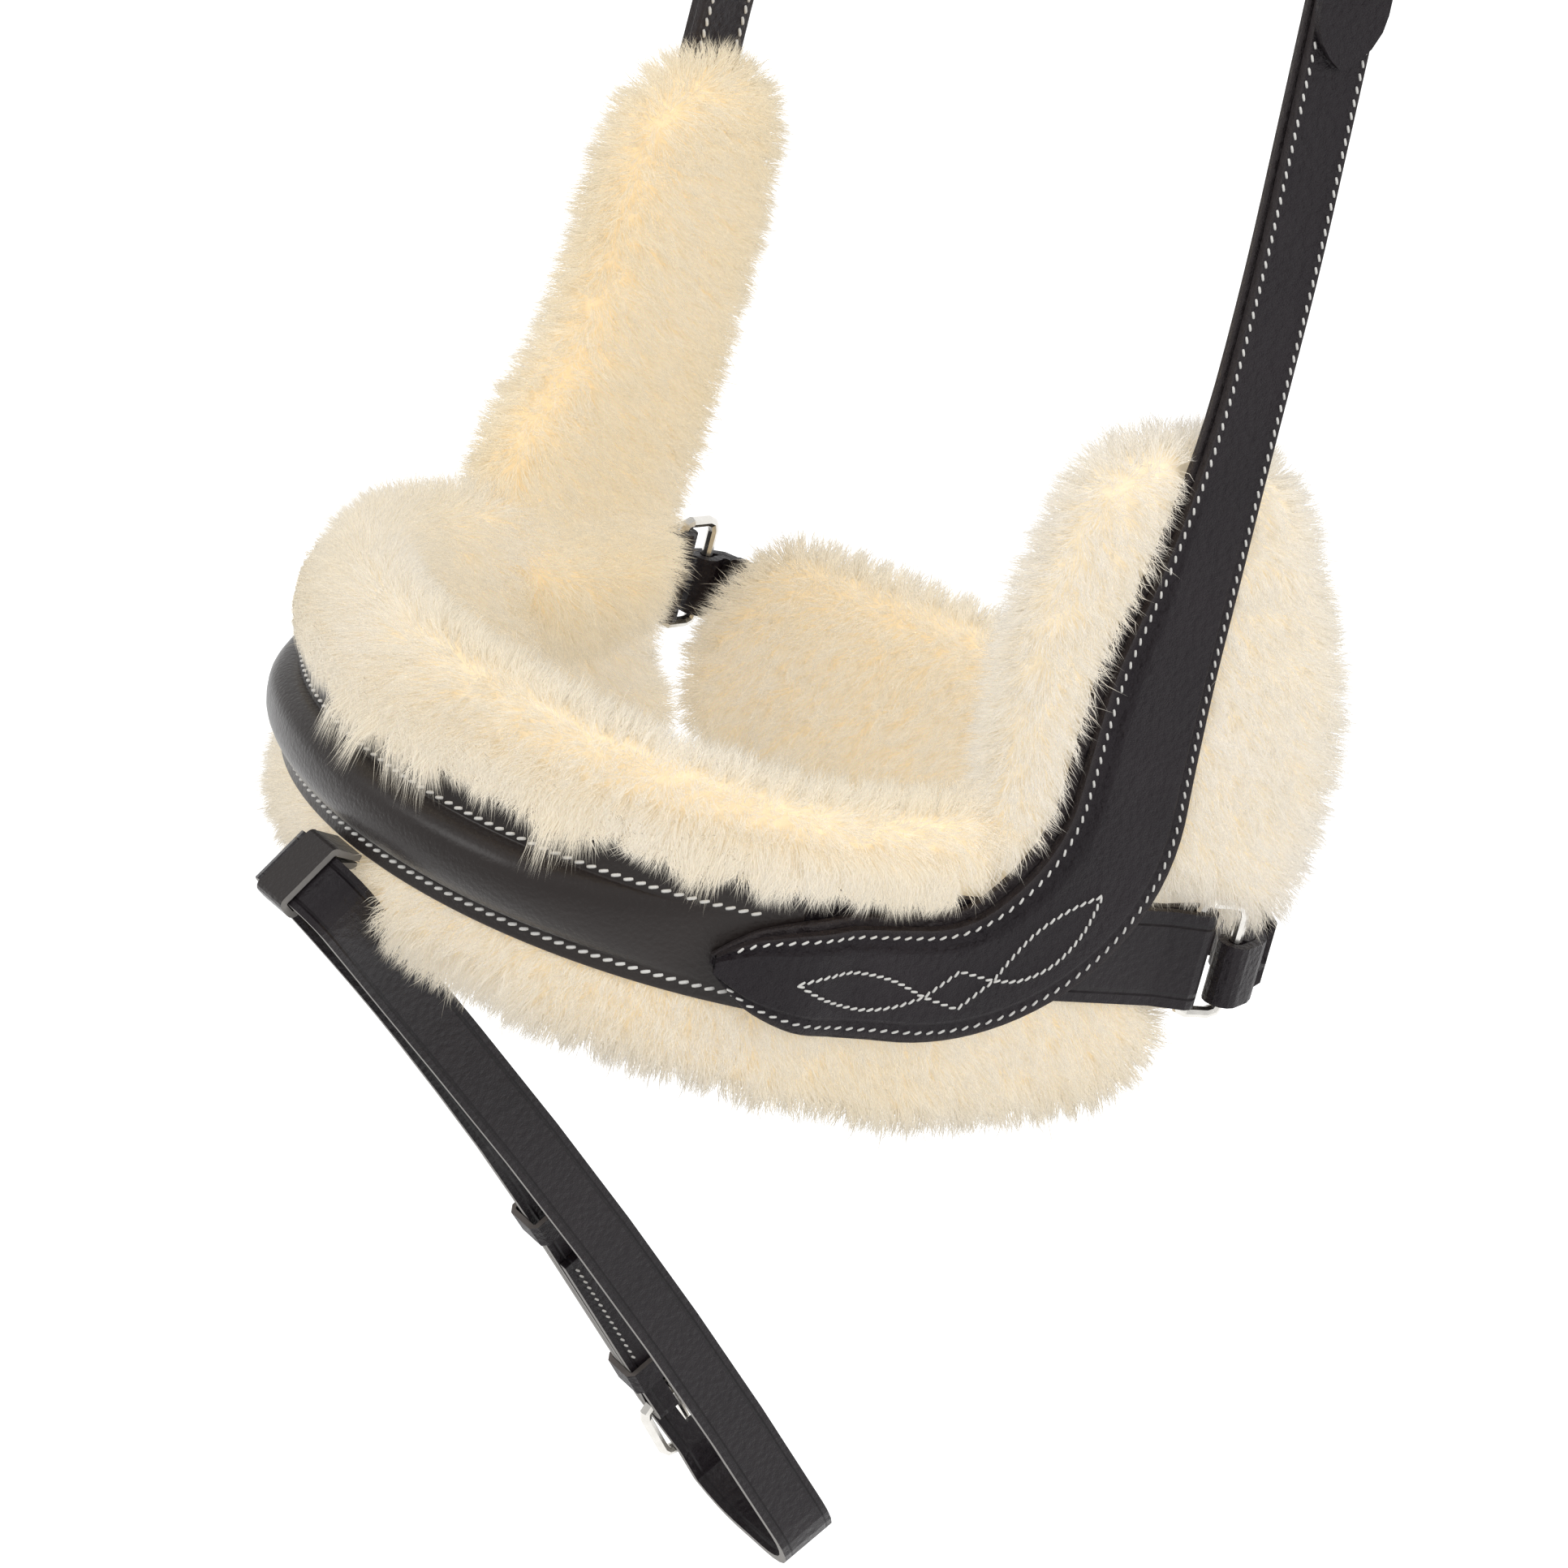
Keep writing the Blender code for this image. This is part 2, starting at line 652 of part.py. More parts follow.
def cheek_spot(along, aside):
    """Run and climb at a distance along the cheek piece's middle line, aside to its front."""
    run, climb, heading = walk(LOBE_LEGS, along)
    return (
        LOBE_TIP_RUN + run - aside * math.sin(heading),
        LOBE_MIDDLE + climb + aside * math.cos(heading),
    )


def cheek_rows(top):
    rows = [share * FLARE_LENGTH for share in CHEEK_ROW_SHARES]
    rows += [FLARE_LENGTH + climb - FLARE_CLIMB for climb in stations(HEAD_LEGS, FLARE_CLIMB, top)[1:]]
    return rows


def cheek_edge(climb, share):
    """Run of the cheek piece's edge at a climb: the front for a share of 1, the rear for -1."""
    column = 1 if share > 0 else 2
    edge = [cheek_spot(row * FLARE_LENGTH, share * table_value(CHEEK_OUTLINE_SHARES, row, column) * STRAP_WIDTH / 2)
            for row in reversed(CHEEK_ROW_SHARES)]
    for (upper_run, upper), (lower_run, lower) in zip(edge, edge[1:]):
        if climb > lower:
            return blend(lower_run, upper_run, (climb - lower) / (upper - lower))


def cheek_layer(along):
    """The lobe rides over the end of the nosepiece's cover, then sinks to its backing."""
    run = cheek_spot(along, 0.0)[0]
    sink = ease(run, LOBE_SINK_START, LOBE_SINK_START + LOBE_SINK_RUN)
    return CHEEK_LAYER + (COVER_THICK + GAP) * (1 - sink)


def cheek_piece(name, side, top, columns, inset_share, layer, thick, raised):
    rows = cheek_rows(top)

    def corner(row, column, face):
        along = rows[row]
        key = along / FLARE_LENGTH
        share = columns[column]
        half = table_value(CHEEK_OUTLINE_SHARES, key, 1 if share > 0 else 2) * STRAP_WIDTH / 2
        aside = share * half * (1 - inset_share)
        run, climb = cheek_spot(along, aside)
        if row == 0:
            run += inset_share * STRAP_WIDTH
        out = cheek_layer(along) + layer + thick * face
        if face and abs(share) < RAISE_WIDTH_SHARE:
            out += raised * (1 - ease(key, *RAISE_FADE_SHARES))
        return skin(side * run, climb, out)

    slab(name, len(rows) - 1, len(columns) - 1, corner, DARK_LEATHER, LEATHER_ROUGH)


FLAT_COLUMN_SHARES = (-1.0, 0.0, 1.0)
RAISED_COLUMN_SHARES = (-1.0, -RAISE_WIDTH_SHARE, -0.56, 0.0, 0.56, RAISE_WIDTH_SHARE, 1.0)


def cheeks():
    for prefix, side, backing_top in (("near", 1, CHEEK_TOP), ("off", -1, OFF_BACKING_TOP)):
        cheek_piece(prefix + "_cheek_backing", side, backing_top, FLAT_COLUMN_SHARES, 0.0, 0.0, STRAP_THICK, 0.0)
        cheek_piece(prefix + "_cheek", side, CHEEK_TOP, RAISED_COLUMN_SHARES, RIM_SHARE, STRAP_THICK + GAP,
                    STRAP_THICK, RAISE)


# The side rings and the tabs that hold them

RING_OUT = -GAP / 2
RING_HALF = TAB_HEIGHT / 2 + RING_SIDE_GAP + RING_WIRE / 2


def rings():
    loop = rounded_loop(0.0, RING_LENGTH, -RING_HALF, RING_HALF, RING_CORNER, 2)
    for prefix, side in (("near", 1), ("off", -1)):
        points = [skin(side * (RING_RUN + along), TAB_MIDDLE + up, RING_OUT) for along, up in loop]
        wire(prefix + "_ring", points, RING_WIRE, True)
        turn = fold(RING_WIRE, BACKING_THICK, FOLD_REACH)
        course = [(RING_RUN + along, RING_OUT + out) for along, out in turn]
        course = [(TAB_START, course[0][1])] + course + [(RING_RUN - TAB_TAIL, course[-1][1])]

        def host(along, across, out, side=side):
            return skin(side * along, TAB_MIDDLE + across, out)

        strip(prefix + "_ring_tab", course, host, TAB_HEIGHT, BACKING_THICK)


# The headstrap over the poll, and its buckle on the near side

HEEL_ALONG = HALF_HEAD - CHEEK_BUCKLE_CLIMB
HEAD_LEGS_ARC = legs_length(HEAD_LEGS[:3]) - GAP


def headstrap():
    def host(along, across, out):
        return head(HEEL_ALONG - along, across, CHEEK_MIDDLE + out)

    buckle("cheek", host, STRAP_WIDTH, CHEEK_RUNNER_BACK)
    turn = fold(BUCKLE_WIRE, STRAP_THICK, FOLD_REACH)
    course = [(-CHEEK_CHAPE, turn[0][1])] + turn + [(-CHEEK_CHAPE, turn[-1][1])]
    strip("cheek_chape", course, host, STRAP_WIDTH, STRAP_THICK, slots=[(1, len(turn))])

    climbs = stations(HEAD_LEGS, CHEEK_TOP + GAP, HALF_HEAD - POLL_FLAT)
    off_side = [climb - HALF_HEAD for climb in climbs]
    near_side = [HALF_HEAD - climb for climb in reversed(climbs) if climb > HEAD_LEGS_ARC]
    rest = SLIP_LAYER - CHEEK_MIDDLE
    tail, slot = billet(rest, CHEEK_BILLET)
    flat = [(along, SLIP_LAYER) for along in off_side + near_side]
    course = flat + [(HEEL_ALONG - along, CHEEK_MIDDLE + out) for along, out in tail]
    rows = tuple(row + len(flat) for row in slot)
    strip("sliphead", course, head, STRAP_WIDTH, STRAP_THICK, slots=[rows], tip=True)


# The flash strap

FLASH_LEGS = [
    (FLASH_TOP / 2, 0.0),
    arc_leg(FLASH_SHOULDER_RADIUS, math.pi / 2 + FLASH_PINCH),
    (FLASH_SHOULDER_RUN, 0.0),
    arc_leg(FLASH_WAIST_RADIUS, -FLASH_PINCH - FLASH_SPREAD),
    (FLASH_RUN, 0.0),
]
FLASH_LEGS.append(arc_leg(FLASH_BOTTOM_RADIUS, math.pi / 2 + FLASH_SPREAD))
FLASH_LEGS.append((walk(FLASH_LEGS, legs_length(FLASH_LEGS))[0], 0.0))
FLASH_HALF = legs_length(FLASH_LEGS)
FLASH_HEEL_DROP = FLASH_HALF - FLASH_HEEL_RISE
FLASH_HEEL = FLASH_HALF + FLASH_HEEL_RISE

# The flash tab hinges just under the nosepiece's lower edge.
TAB_PLY = (TAB_THICK + GAP) / 2
TAB_ROOT_HALF = TAB_PLY + TAB_THICK / 2
FLASH_ROOT = (
    BACKING_THICK + COVER_THICK / 2,
    NOSE_MIDDLE - NOSE_HEIGHT / 2 - TAB_ROOT_HALF - GAP - FLASH_TAB_DROP,
)
FLASH_CENTRE = (FLASH_ROOT[0] + FLASH_AHEAD, FLASH_ROOT[1] - FLASH_BELOW)


def flash_place(across, down, aside):
    """A point of the flash strap: down the loop, and aside to its lower front edge."""
    slant = FLASH_SLANT + down / FLASH_BOW_RADIUS
    forward = FLASH_CENTRE[0] - FLASH_BOW_RADIUS * (math.sin(slant) - math.sin(FLASH_SLANT))
    height = FLASH_CENTRE[1] + FLASH_BOW_RADIUS * (math.cos(slant) - math.cos(FLASH_SLANT))
    return place(across, forward + aside * math.sin(slant), height - aside * math.cos(slant))


def flash(along, aside, out):
    """The flash strap's line, along from its top down the near run and up the off run."""
    along %= 2 * FLASH_HALF
    side = 1
    if along > FLASH_HALF:
        along = 2 * FLASH_HALF - along
        side = -1
    across, down, heading = walk(FLASH_LEGS, along)
    return flash_place(side * (across + out * math.sin(heading)), down - out * math.cos(heading), aside)


def flash_stations(start, end):
    return stations(FLASH_LEGS, start, end, FLASH_ROW_LENGTH)


def flash_strap():
    def host(along, across, out):
        return flash(FLASH_HEEL - along, across, out)

    buckle("flash", host, FLASH_WIDTH, FLASH_RUNNER_BACK)
    # Up the chape's inner ply, round the heel bar, and back up the outer ply past the billet's tip.
    chape = [(-FLASH_CHAPE, -CHAPE_PLY)] + fold(BUCKLE_WIRE, STRAP_THICK, FOLD_REACH)[::-1]
    slots = [(1, len(chape) - 1)]
    chape.append((-FLASH_RUNNER_BACK, CHAPE_PLY))
    chape.append((-FLASH_BILLET - TIP_LENGTH / 2, CHAPE_PLY))
    course = [(FLASH_HEEL - along, out) for along, out in chape]
    lap = FLASH_HEEL_DROP - FLASH_BILLET - 2 * TIP_LENGTH
    course += [(2 * FLASH_HALF - along, 0.0) for along in reversed(flash_stations(0.0, lap))]
    tail, slot = billet(0.0, FLASH_BILLET)
    meets = FLASH_HEEL_DROP + tail[0][0]
    course += [(2 * FLASH_HALF + along, 0.0) for along in flash_stations(0.0, FLASH_HALF)[1:]]
    course += [(4 * FLASH_HALF - along, 0.0) for along in flash_stations(meets, FLASH_HALF)[::-1][1:-1]]
    slots.append(tuple(row + len(course) for row in slot))
    course += [(4 * FLASH_HALF - FLASH_HEEL_DROP - along, out) for along, out in tail]
    strip("flash_strap", course, flash, FLASH_WIDTH, STRAP_THICK, slots=slots, tip=True)


def flash_tab():
    """The tab comes forward from under the nosepiece in two plies and wraps round the strap."""
    edge = FLASH_WIDTH / 2
    wrap = (GAP + TAB_THICK / 2) / math.cos(ARC_STEP / 2)
    face = STRAP_THICK / 2
    root = (
        -FLASH_AHEAD * math.sin(FLASH_SLANT) - FLASH_BELOW * math.cos(FLASH_SLANT),
        -FLASH_AHEAD * math.cos(FLASH_SLANT) + FLASH_BELOW * math.sin(FLASH_SLANT),
    )
    neck = math.atan2(-root[1], -edge - wrap - root[0])
    ply = (-TAB_PLY * math.sin(neck), TAB_PLY * math.cos(neck))

    def round_edge(centre, start, end):
        steps = math.ceil(abs(end - start) / ARC_STEP)
        return [(centre[0] + wrap * math.cos(angle), centre[1] + wrap * math.sin(angle))
                for angle in spaced(start, end, steps)]

    course = [(root[0] + ply[0], root[1] + ply[1])]
    course += round_edge((-edge, face), math.pi, math.pi / 2)
    course += round_edge((edge, face), math.pi / 2, 0.0)
    course += round_edge((edge, -face), 0.0, -math.pi / 2)
    course.append((-edge, -face - wrap))
    course.append((root[0] - ply[0], root[1] - ply[1]))

    def host(along, across, out):
        return flash_place(across, -out, along)

    strip("flash_tab", course, host, FLASH_TAB_WIDTH, TAB_THICK, GREY_LEATHER)


def hang_flash():
    """Parent the flash strap's pieces to an empty on the line that they swing about."""
    swing = bpy.data.objects.new("flash_swing", None)
    swing.location = place(0.0, *FLASH_ROOT)
    PIECES.objects.link(swing)
    for piece in list(PIECES.objects):
        if piece.name.startswith("flash_") and piece is not swing:
            piece.parent = swing
            piece.location -= swing.location


# The chin strap, its buckle and its pad

CHIN_TURN = math.pi / 2 + SIDE_FLARE - CHIN_SLANT
CHIN_START_RUN = RING_RUN + RING_LENGTH
CHIN_HALF_LEGS = [(CHIN_LEAD, 0.0), arc_leg(CHIN_CORNER_RADIUS, CHIN_TURN), (CHIN_LINE, 0.0)]


def chin_from(legs, along, out):
    """Across and forward at a distance along the chin strap's line, and out from it."""
    across, back, facing = walk(PLAN_LEGS, CHIN_START_RUN)
    rear, inward, heading = walk(legs, along)
    rear += out * math.sin(heading)
    inward -= out * math.cos(heading)
    across += RING_OUT * math.sin(facing)
    forward = RING_OUT * math.cos(facing) - back
    return (
        across + rear * math.cos(facing) - inward * math.sin(facing),
        forward - rear * math.sin(facing) - inward * math.cos(facing),
    )


CHIN_MIDDLE_HALF = chin_from(CHIN_HALF_LEGS, legs_length(CHIN_HALF_LEGS), 0.0)[0]
CHIN_MIDDLE_RADIUS = CHIN_MIDDLE_HALF / math.sin(CHIN_SLANT)
CHIN_LEGS = CHIN_HALF_LEGS + [arc_leg(CHIN_MIDDLE_RADIUS, 2 * CHIN_SLANT)] + CHIN_HALF_LEGS[::-1]
CHIN_LENGTH = legs_length(CHIN_LEGS)
CHIN_HEEL = legs_length(CHIN_HALF_LEGS[:2]) + CHIN_BUCKLE_RUN
CHIN_LINE_OUT = -CHAPE_PLY
PAD_OUT = CHIN_LINE_OUT - STRAP_THICK / 2 - GAP


def chin(along, across, out):
    """The chin strap's line, along from the near ring round to the off ring."""
    x, forward = chin_from(CHIN_LEGS, along, out)
    sag = CHIN_SAG * ease(along, *CHIN_SAG_NEAR_EASE) * ease(CHIN_LENGTH - along, *CHIN_SAG_OFF_EASE)
    return place(x, forward, TAB_MIDDLE - CHIN_SEAT - sag + across)


def chin_stations(start, end):
    return stations(CHIN_LEGS, start, end, CHIN_ROW_LENGTH)


def chin_strap():
    def host(along, across, out):
        return chin(CHIN_HEEL + along, across, out)

    buckle("chin", host, CHIN_WIDTH, CHIN_RUNNER_BACK)
    heel = [(CHIN_HEEL + along, out) for along, out in fold(BUCKLE_WIRE, STRAP_THICK, FOLD_REACH)]
    ring = [(-along, out) for along, out in fold(RING_WIRE, STRAP_THICK, RING_FOLD_REACH)]
    outer = [(along, CHAPE_PLY) for along in chin_stations(RING_FOLD_REACH, CHIN_HEEL - FOLD_REACH)[1:-1]]
    inner = [(along, -CHAPE_PLY) for along, out in outer]
    split = CHIN_CHAPE_SPLIT
    head_end = [point for point in inner if point[0] > split + GAP]
    tail_end = [point for point in inner if point[0] < split - CHIN_SPLIT_GAP - GAP]
    # From the split on the inner ply to the heel, back on the outer ply, round the ring and
    # along the inner ply to the split again.
    course = [(split, -CHAPE_PLY)] + head_end + heel[::-1] + outer[::-1] + ring + tail_end
    course.append((split - CHIN_SPLIT_GAP, -CHAPE_PLY))
    first = 1 + len(head_end)
    strip("chin_chape", course, chin, CHIN_WIDTH, STRAP_THICK, slots=[(first, first + len(heel) - 1)])

    turn = [(CHIN_LENGTH + along, -out) for along, out in fold(RING_WIRE, STRAP_THICK, RING_FOLD_REACH)]
    tail, slot = billet(CHIN_LINE_OUT, CHIN_BILLET)
    tail = [(CHIN_HEEL + along, out) for along, out in tail]
    main = chin_stations(tail[0][0] + GAP, CHIN_LENGTH - CHIN_TAIL - CHIN_TAIL_EASE)[1:]
    main = [(along, CHIN_LINE_OUT) for along in reversed(main)]
    corner_rows = chin_stations(CHIN_LENGTH - CHIN_TAIL, CHIN_LENGTH - RING_FOLD_REACH)
    course = [(along, -CHAPE_PLY) for along in corner_rows[:-1]] + turn
    course += [(along, CHAPE_PLY) for along in reversed(corner_rows[:-1])]
    course += main
    first = len(course)
    course += tail
    strip("chin_strap", course, chin, CHIN_WIDTH, STRAP_THICK,
          slots=[tuple(row + first for row in slot)], tip=True)


def chin_pad():
    near_end = CHIN_LENGTH - PAD_NEAR_END
    off_end = CHIN_LENGTH - PAD_OFF_END
    rows = chin_stations(near_end, off_end)
    rows = sorted(rows + [blend(near_end, off_end, share) for share, half in PAD_END_SHARES[1:-1]])

    def pad(row, column, face):
        share = (rows[row] - near_end) / (off_end - near_end)
        half = table_value(PAD_END_SHARES, share, 1) * PAD_HEIGHT / 2
        return chin(rows[row], half * (2 * column - 1), PAD_OUT - PAD_THICK * (1 - face))

    slab("chin_pad", len(rows) - 1, 1, pad, DARK_LEATHER, LEATHER_ROUGH)

    over = CHIN_LINE_OUT + STRAP_THICK / 2 + GAP + BAND_THICK / 2
    foot = PAD_OUT + GAP + BAND_THICK / 2
    inside = CHIN_WIDTH / 2 + BAND_THICK
    outside = inside + BAND_THICK
    half = [(inside, over), (outside, foot), (outside + PAD_LOOP_FOOT, foot)]
    course = [(-across, out) for across, out in reversed(half)] + half
    for index, run in enumerate(PAD_LOOP_RUNS, 1):
        centre = CHIN_LENGTH - run

        def host(along, across, out, centre=centre):
            return chin(centre + across, along, out)

        strip("chin_pad_loop_%d" % index, course, host, PAD_LOOP_WIDTH, BAND_THICK)


# Sheepskin

def crown(share):
    return 1 - abs(share) ** CROWN_POWER


def wool_columns(low_end, low_edge, high_edge, high_end):
    """Places across the wool, with rows along both edges of the leather that covers it."""
    low_roll = (low_end + low_edge) / 2
    high_roll = (high_end + high_edge) / 2
    inner = [blend(low_edge, high_edge, share) for share in WOOL_INNER_SHARES]
    return [low_end, low_roll, low_edge, *inner, high_edge, high_roll, high_end]


WOOL_COLUMNS = 5 + len(WOOL_INNER_SHARES)


def wool_depth(place, low_end, high_end):
    share = (place - low_end) / (high_end - low_end)
    return WOOL_EDGE + (WOOL_DEPTH - WOOL_EDGE) * crown(2 * share - 1)


def nose_wool():
    rows = mirrored(stations(PLAN_LEGS, 0.0, NOSE_WOOL_RUN, ROW_LENGTH))

    def corner(row, column, face):
        run = rows[row]
        size = abs(run)
        top = blend(NOSE_WOOL_TOP, NOSE_WOOL_CUT, ease(size, *WOOL_TOP_EASE))
        notch = ease(size, *WOOL_NOTCH_EASE)
        bottom = -blend(NOSE_WOOL_NOTCH, NOSE_WOOL_BOTTOM, notch)
        bottom += WOOL_END_LIFT * ease(size, *WOOL_END_EASE)
        leather_top = nose_middle(run) + nose_half(run) + WOOL_ROLL_START
        leather_bottom = nose_middle(run) - nose_half(run) - WOOL_ROLL_START
        height = wool_columns(bottom, leather_bottom, leather_top, top)[column]
        run -= math.copysign(NOSE_WOOL_SLOPE, run) * (
            ease(size, *WOOL_END_EASE) * ease(height, *NOSE_WOOL_SLOPE_EASE))
        clear = ease(size, TAB_START - WOOL_TAB_EASE, RING_RUN - TAB_TAIL)
        outer = -GAP - clear * (2 * BACKING_THICK)
        if not face:
            return skin(run, height, outer - wool_depth(height, bottom, top) + clear * BACKING_THICK)
        low_roll = notch * blend(WOOL_ROLL, BACKING_THICK, ease(size, *WOOL_LOBE_EASE))
        roll = WOOL_ROLL * ease(height - leather_top, 0.0, WOOL_ROLL_EASE)
        roll += low_roll * ease(leather_bottom - height, 0.0, WOOL_ROLL_EASE)
        return skin(run, height, outer + roll * (1 - clear))

    slab("nose_fleece", len(rows) - 1, WOOL_COLUMNS, corner, WOOL_CREAM, WOOL_ROUGH)


def cheek_wool():
    bottom = NOSE_WOOL_CUT + 2 * GAP
    for prefix, side in (("near", 1), ("off", -1)):

        def corner(row, column, face, side=side):
            key = row / CHEEK_WOOL_ROWS
            climb = blend(bottom, CHEEK_WOOL_TOP, key)
            front = CHEEK_RUN - table_value(CHEEK_WOOL_SHARES, key, 1) * STRAP_WIDTH
            rear = CHEEK_RUN + table_value(CHEEK_WOOL_SHARES, key, 2) * STRAP_WIDTH
            leather_front = cheek_edge(climb, 1) - WOOL_ROLL_START
            leather_rear = cheek_edge(climb, -1) + WOOL_ROLL_START
            run = wool_columns(front, leather_front, leather_rear, rear)[column]
            if not face:
                depth = WOOL_EDGE + (wool_depth(run, front, rear) - WOOL_EDGE) * crown(key * key)
                return skin(side * run, climb, BACKING_THICK - depth)
            beyond = max(leather_front - run, run - leather_rear)
            return skin(side * run, climb, BACKING_THICK + WOOL_ROLL * ease(beyond, 0.0, WOOL_ROLL_EASE))

        slab(prefix + "_cheek_fleece", CHEEK_WOOL_ROWS, WOOL_COLUMNS, corner, WOOL_CREAM, WOOL_ROUGH)


def chin_wool():
    near_end = CHIN_LENGTH - CHIN_WOOL_NEAR_END
    off_end = CHIN_LENGTH - CHIN_WOOL_OFF_END
    rows = chin_stations(near_end, off_end)
    rows = sorted(rows + [blend(near_end, off_end, share) for share, half in PAD_END_SHARES[1:-1]])
    top = PAD_OUT - PAD_THICK - GAP

    def corner(row, column, face):
        key = (rows[row] - near_end) / (off_end - near_end)
        share = CHIN_WOOL_COLUMN_SHARES[column]
        half = table_value(PAD_END_SHARES, key, 1) * CHIN_WOOL_HEIGHT / 2
        if face:
            return chin(rows[row], half * share, top)
        depth = WOOL_EDGE + (WOOL_DEPTH - WOOL_EDGE) * crown(share) * crown(2 * key - 1)
        return chin(rows[row], half * share, top - depth)

    slab("chin_fleece", len(rows) - 1, len(CHIN_WOOL_COLUMN_SHARES) - 1, corner, WOOL_CREAM, WOOL_ROUGH)


for old in list(bpy.data.objects):
    bpy.data.objects.remove(old, do_unlink=True)
PIECES = bpy.data.collections.new("noseband")
bpy.context.scene.collection.children.link(PIECES)

nosepiece()
cheeks()
rings()
headstrap()
flash_strap()
flash_tab()
hang_flash()
chin_strap()
chin_pad()
nose_wool()
cheek_wool()
chin_wool()
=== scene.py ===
# %% [markdown]
# # A sheepskin-lined horse bridle noseband
#
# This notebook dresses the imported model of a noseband: dark padded leather over sheepskin, white
# saddle stitching and nickel buckles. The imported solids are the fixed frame. Hard pieces keep
# their solids and get a finish, and soft or finely shaped ones get a richer piece on top.

# %% Load the frame
import math

import bmesh
import bpy
import numpy as np
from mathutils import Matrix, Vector, kdtree
from mathutils.bvhtree import BVHTree


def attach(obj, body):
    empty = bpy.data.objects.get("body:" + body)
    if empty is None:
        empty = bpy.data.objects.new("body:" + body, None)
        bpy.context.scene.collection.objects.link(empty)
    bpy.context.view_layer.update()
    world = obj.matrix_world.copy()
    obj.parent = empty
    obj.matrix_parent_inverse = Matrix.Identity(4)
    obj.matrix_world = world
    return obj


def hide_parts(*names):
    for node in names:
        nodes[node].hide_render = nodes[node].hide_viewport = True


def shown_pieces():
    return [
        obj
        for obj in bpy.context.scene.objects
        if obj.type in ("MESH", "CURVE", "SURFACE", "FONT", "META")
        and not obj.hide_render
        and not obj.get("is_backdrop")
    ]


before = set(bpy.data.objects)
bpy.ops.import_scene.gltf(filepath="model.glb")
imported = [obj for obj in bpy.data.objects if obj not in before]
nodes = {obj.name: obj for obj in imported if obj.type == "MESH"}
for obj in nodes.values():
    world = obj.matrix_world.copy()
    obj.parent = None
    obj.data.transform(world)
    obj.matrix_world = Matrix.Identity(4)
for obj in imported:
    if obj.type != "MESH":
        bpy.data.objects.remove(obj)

scene = bpy.context.scene
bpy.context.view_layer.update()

# %% [markdown]
# The camera looks down on the near side from in front, with a long lens, as for a catalogue
# picture. Its place and lens came from matching the strap edges, so nothing is shifted.

# %% Camera
CAMERA_AZIMUTH = math.radians(56.555)
CAMERA_ELEVATION = math.radians(30.233)
back = Vector((
    math.sin(CAMERA_AZIMUTH) * math.cos(CAMERA_ELEVATION),
    -math.cos(CAMERA_AZIMUTH) * math.cos(CAMERA_ELEVATION),
    math.sin(CAMERA_ELEVATION),
))
right = Vector((math.cos(CAMERA_AZIMUTH), math.sin(CAMERA_AZIMUTH), 0.0))
up = back.cross(right)
aim = Vector((0.0, -0.179045, -0.387822)) + right * 0.04021 - up * 0.00307

camera_data = bpy.data.cameras.new("catalogue_camera")
camera_data.sensor_width = 36.0
camera_data.lens = 36.0 * 9184.44 / 1932
camera = bpy.data.objects.new("catalogue_camera", camera_data)
camera.location = aim + back * 1.60209
camera.rotation_euler = back.to_track_quat("Z", "Y").to_euler()
scene.collection.objects.link(camera)
scene.camera = camera
print("lens mm:", round(camera_data.lens, 1))

# %% [markdown]
# Materials are wired by script. Each of these short helpers adds one node or one common piece of
# wiring and hands back its output, so that a material below reads as a chain of steps.

# %% Shader helpers
def math_node(tree, operation, first, second=0.0):
    node = tree.nodes.new("ShaderNodeMath")
    node.operation = operation
    for index, value in enumerate((first, second)):
        if isinstance(value, (int, float)):
            node.inputs[index].default_value = value
        else:
            tree.links.new(value, node.inputs[index])
    return node.outputs[0]


def noise_node(tree, vector, scale, detail):
    node = tree.nodes.new("ShaderNodeTexNoise")
    node.inputs["Detail"].default_value = detail
    tree.links.new(vector, node.inputs["Vector"])
    if isinstance(scale, (int, float)):
        node.inputs["Scale"].default_value = scale
    else:
        tree.links.new(scale, node.inputs["Scale"])
    return node.outputs["Fac"]


def mix_colour(tree, share, low, high):
    node = tree.nodes.new("ShaderNodeMix")
    node.data_type = "RGBA"
    tree.links.new(share, node.inputs[0])
    for socket, value in ((node.inputs[6], low), (node.inputs[7], high)):
        if isinstance(value, tuple):
            socket.default_value = (*value, 1.0)
        else:
            tree.links.new(value, socket)
    return node.outputs[2]


def stored_mask(tree, name):
    node = tree.nodes.new("ShaderNodeAttribute")
    node.attribute_name = name
    return node.outputs["Fac"]


def value_range(tree, value, low, high):
    node = tree.nodes.new("ShaderNodeMapRange")
    tree.links.new(value, node.inputs["Value"])
    node.inputs["To Min"].default_value = low
    node.inputs["To Max"].default_value = high
    return node.outputs["Result"]


def new_material(name):
    material = bpy.data.materials.new(name)
    material.use_nodes = True
    tree = material.node_tree
    return material, tree, tree.nodes["Principled BSDF"]


def object_place(tree):
    return tree.nodes.new("ShaderNodeTexCoord").outputs["Object"]


def add_bump(tree, shader, height, strength, distance):
    bump = tree.nodes.new("ShaderNodeBump")
    bump.inputs["Strength"].default_value = strength
    bump.inputs["Distance"].default_value = distance
    tree.links.new(height, bump.inputs["Height"])
    tree.links.new(bump.outputs["Normal"], shader.inputs["Normal"])


def mix_shaders(tree, share, first, second):
    node = tree.nodes.new("ShaderNodeMixShader")
    for socket, value in zip(node.inputs, (share, first, second)):
        tree.links.new(value, socket)
    return node.outputs[0]


print("shader helpers ready")

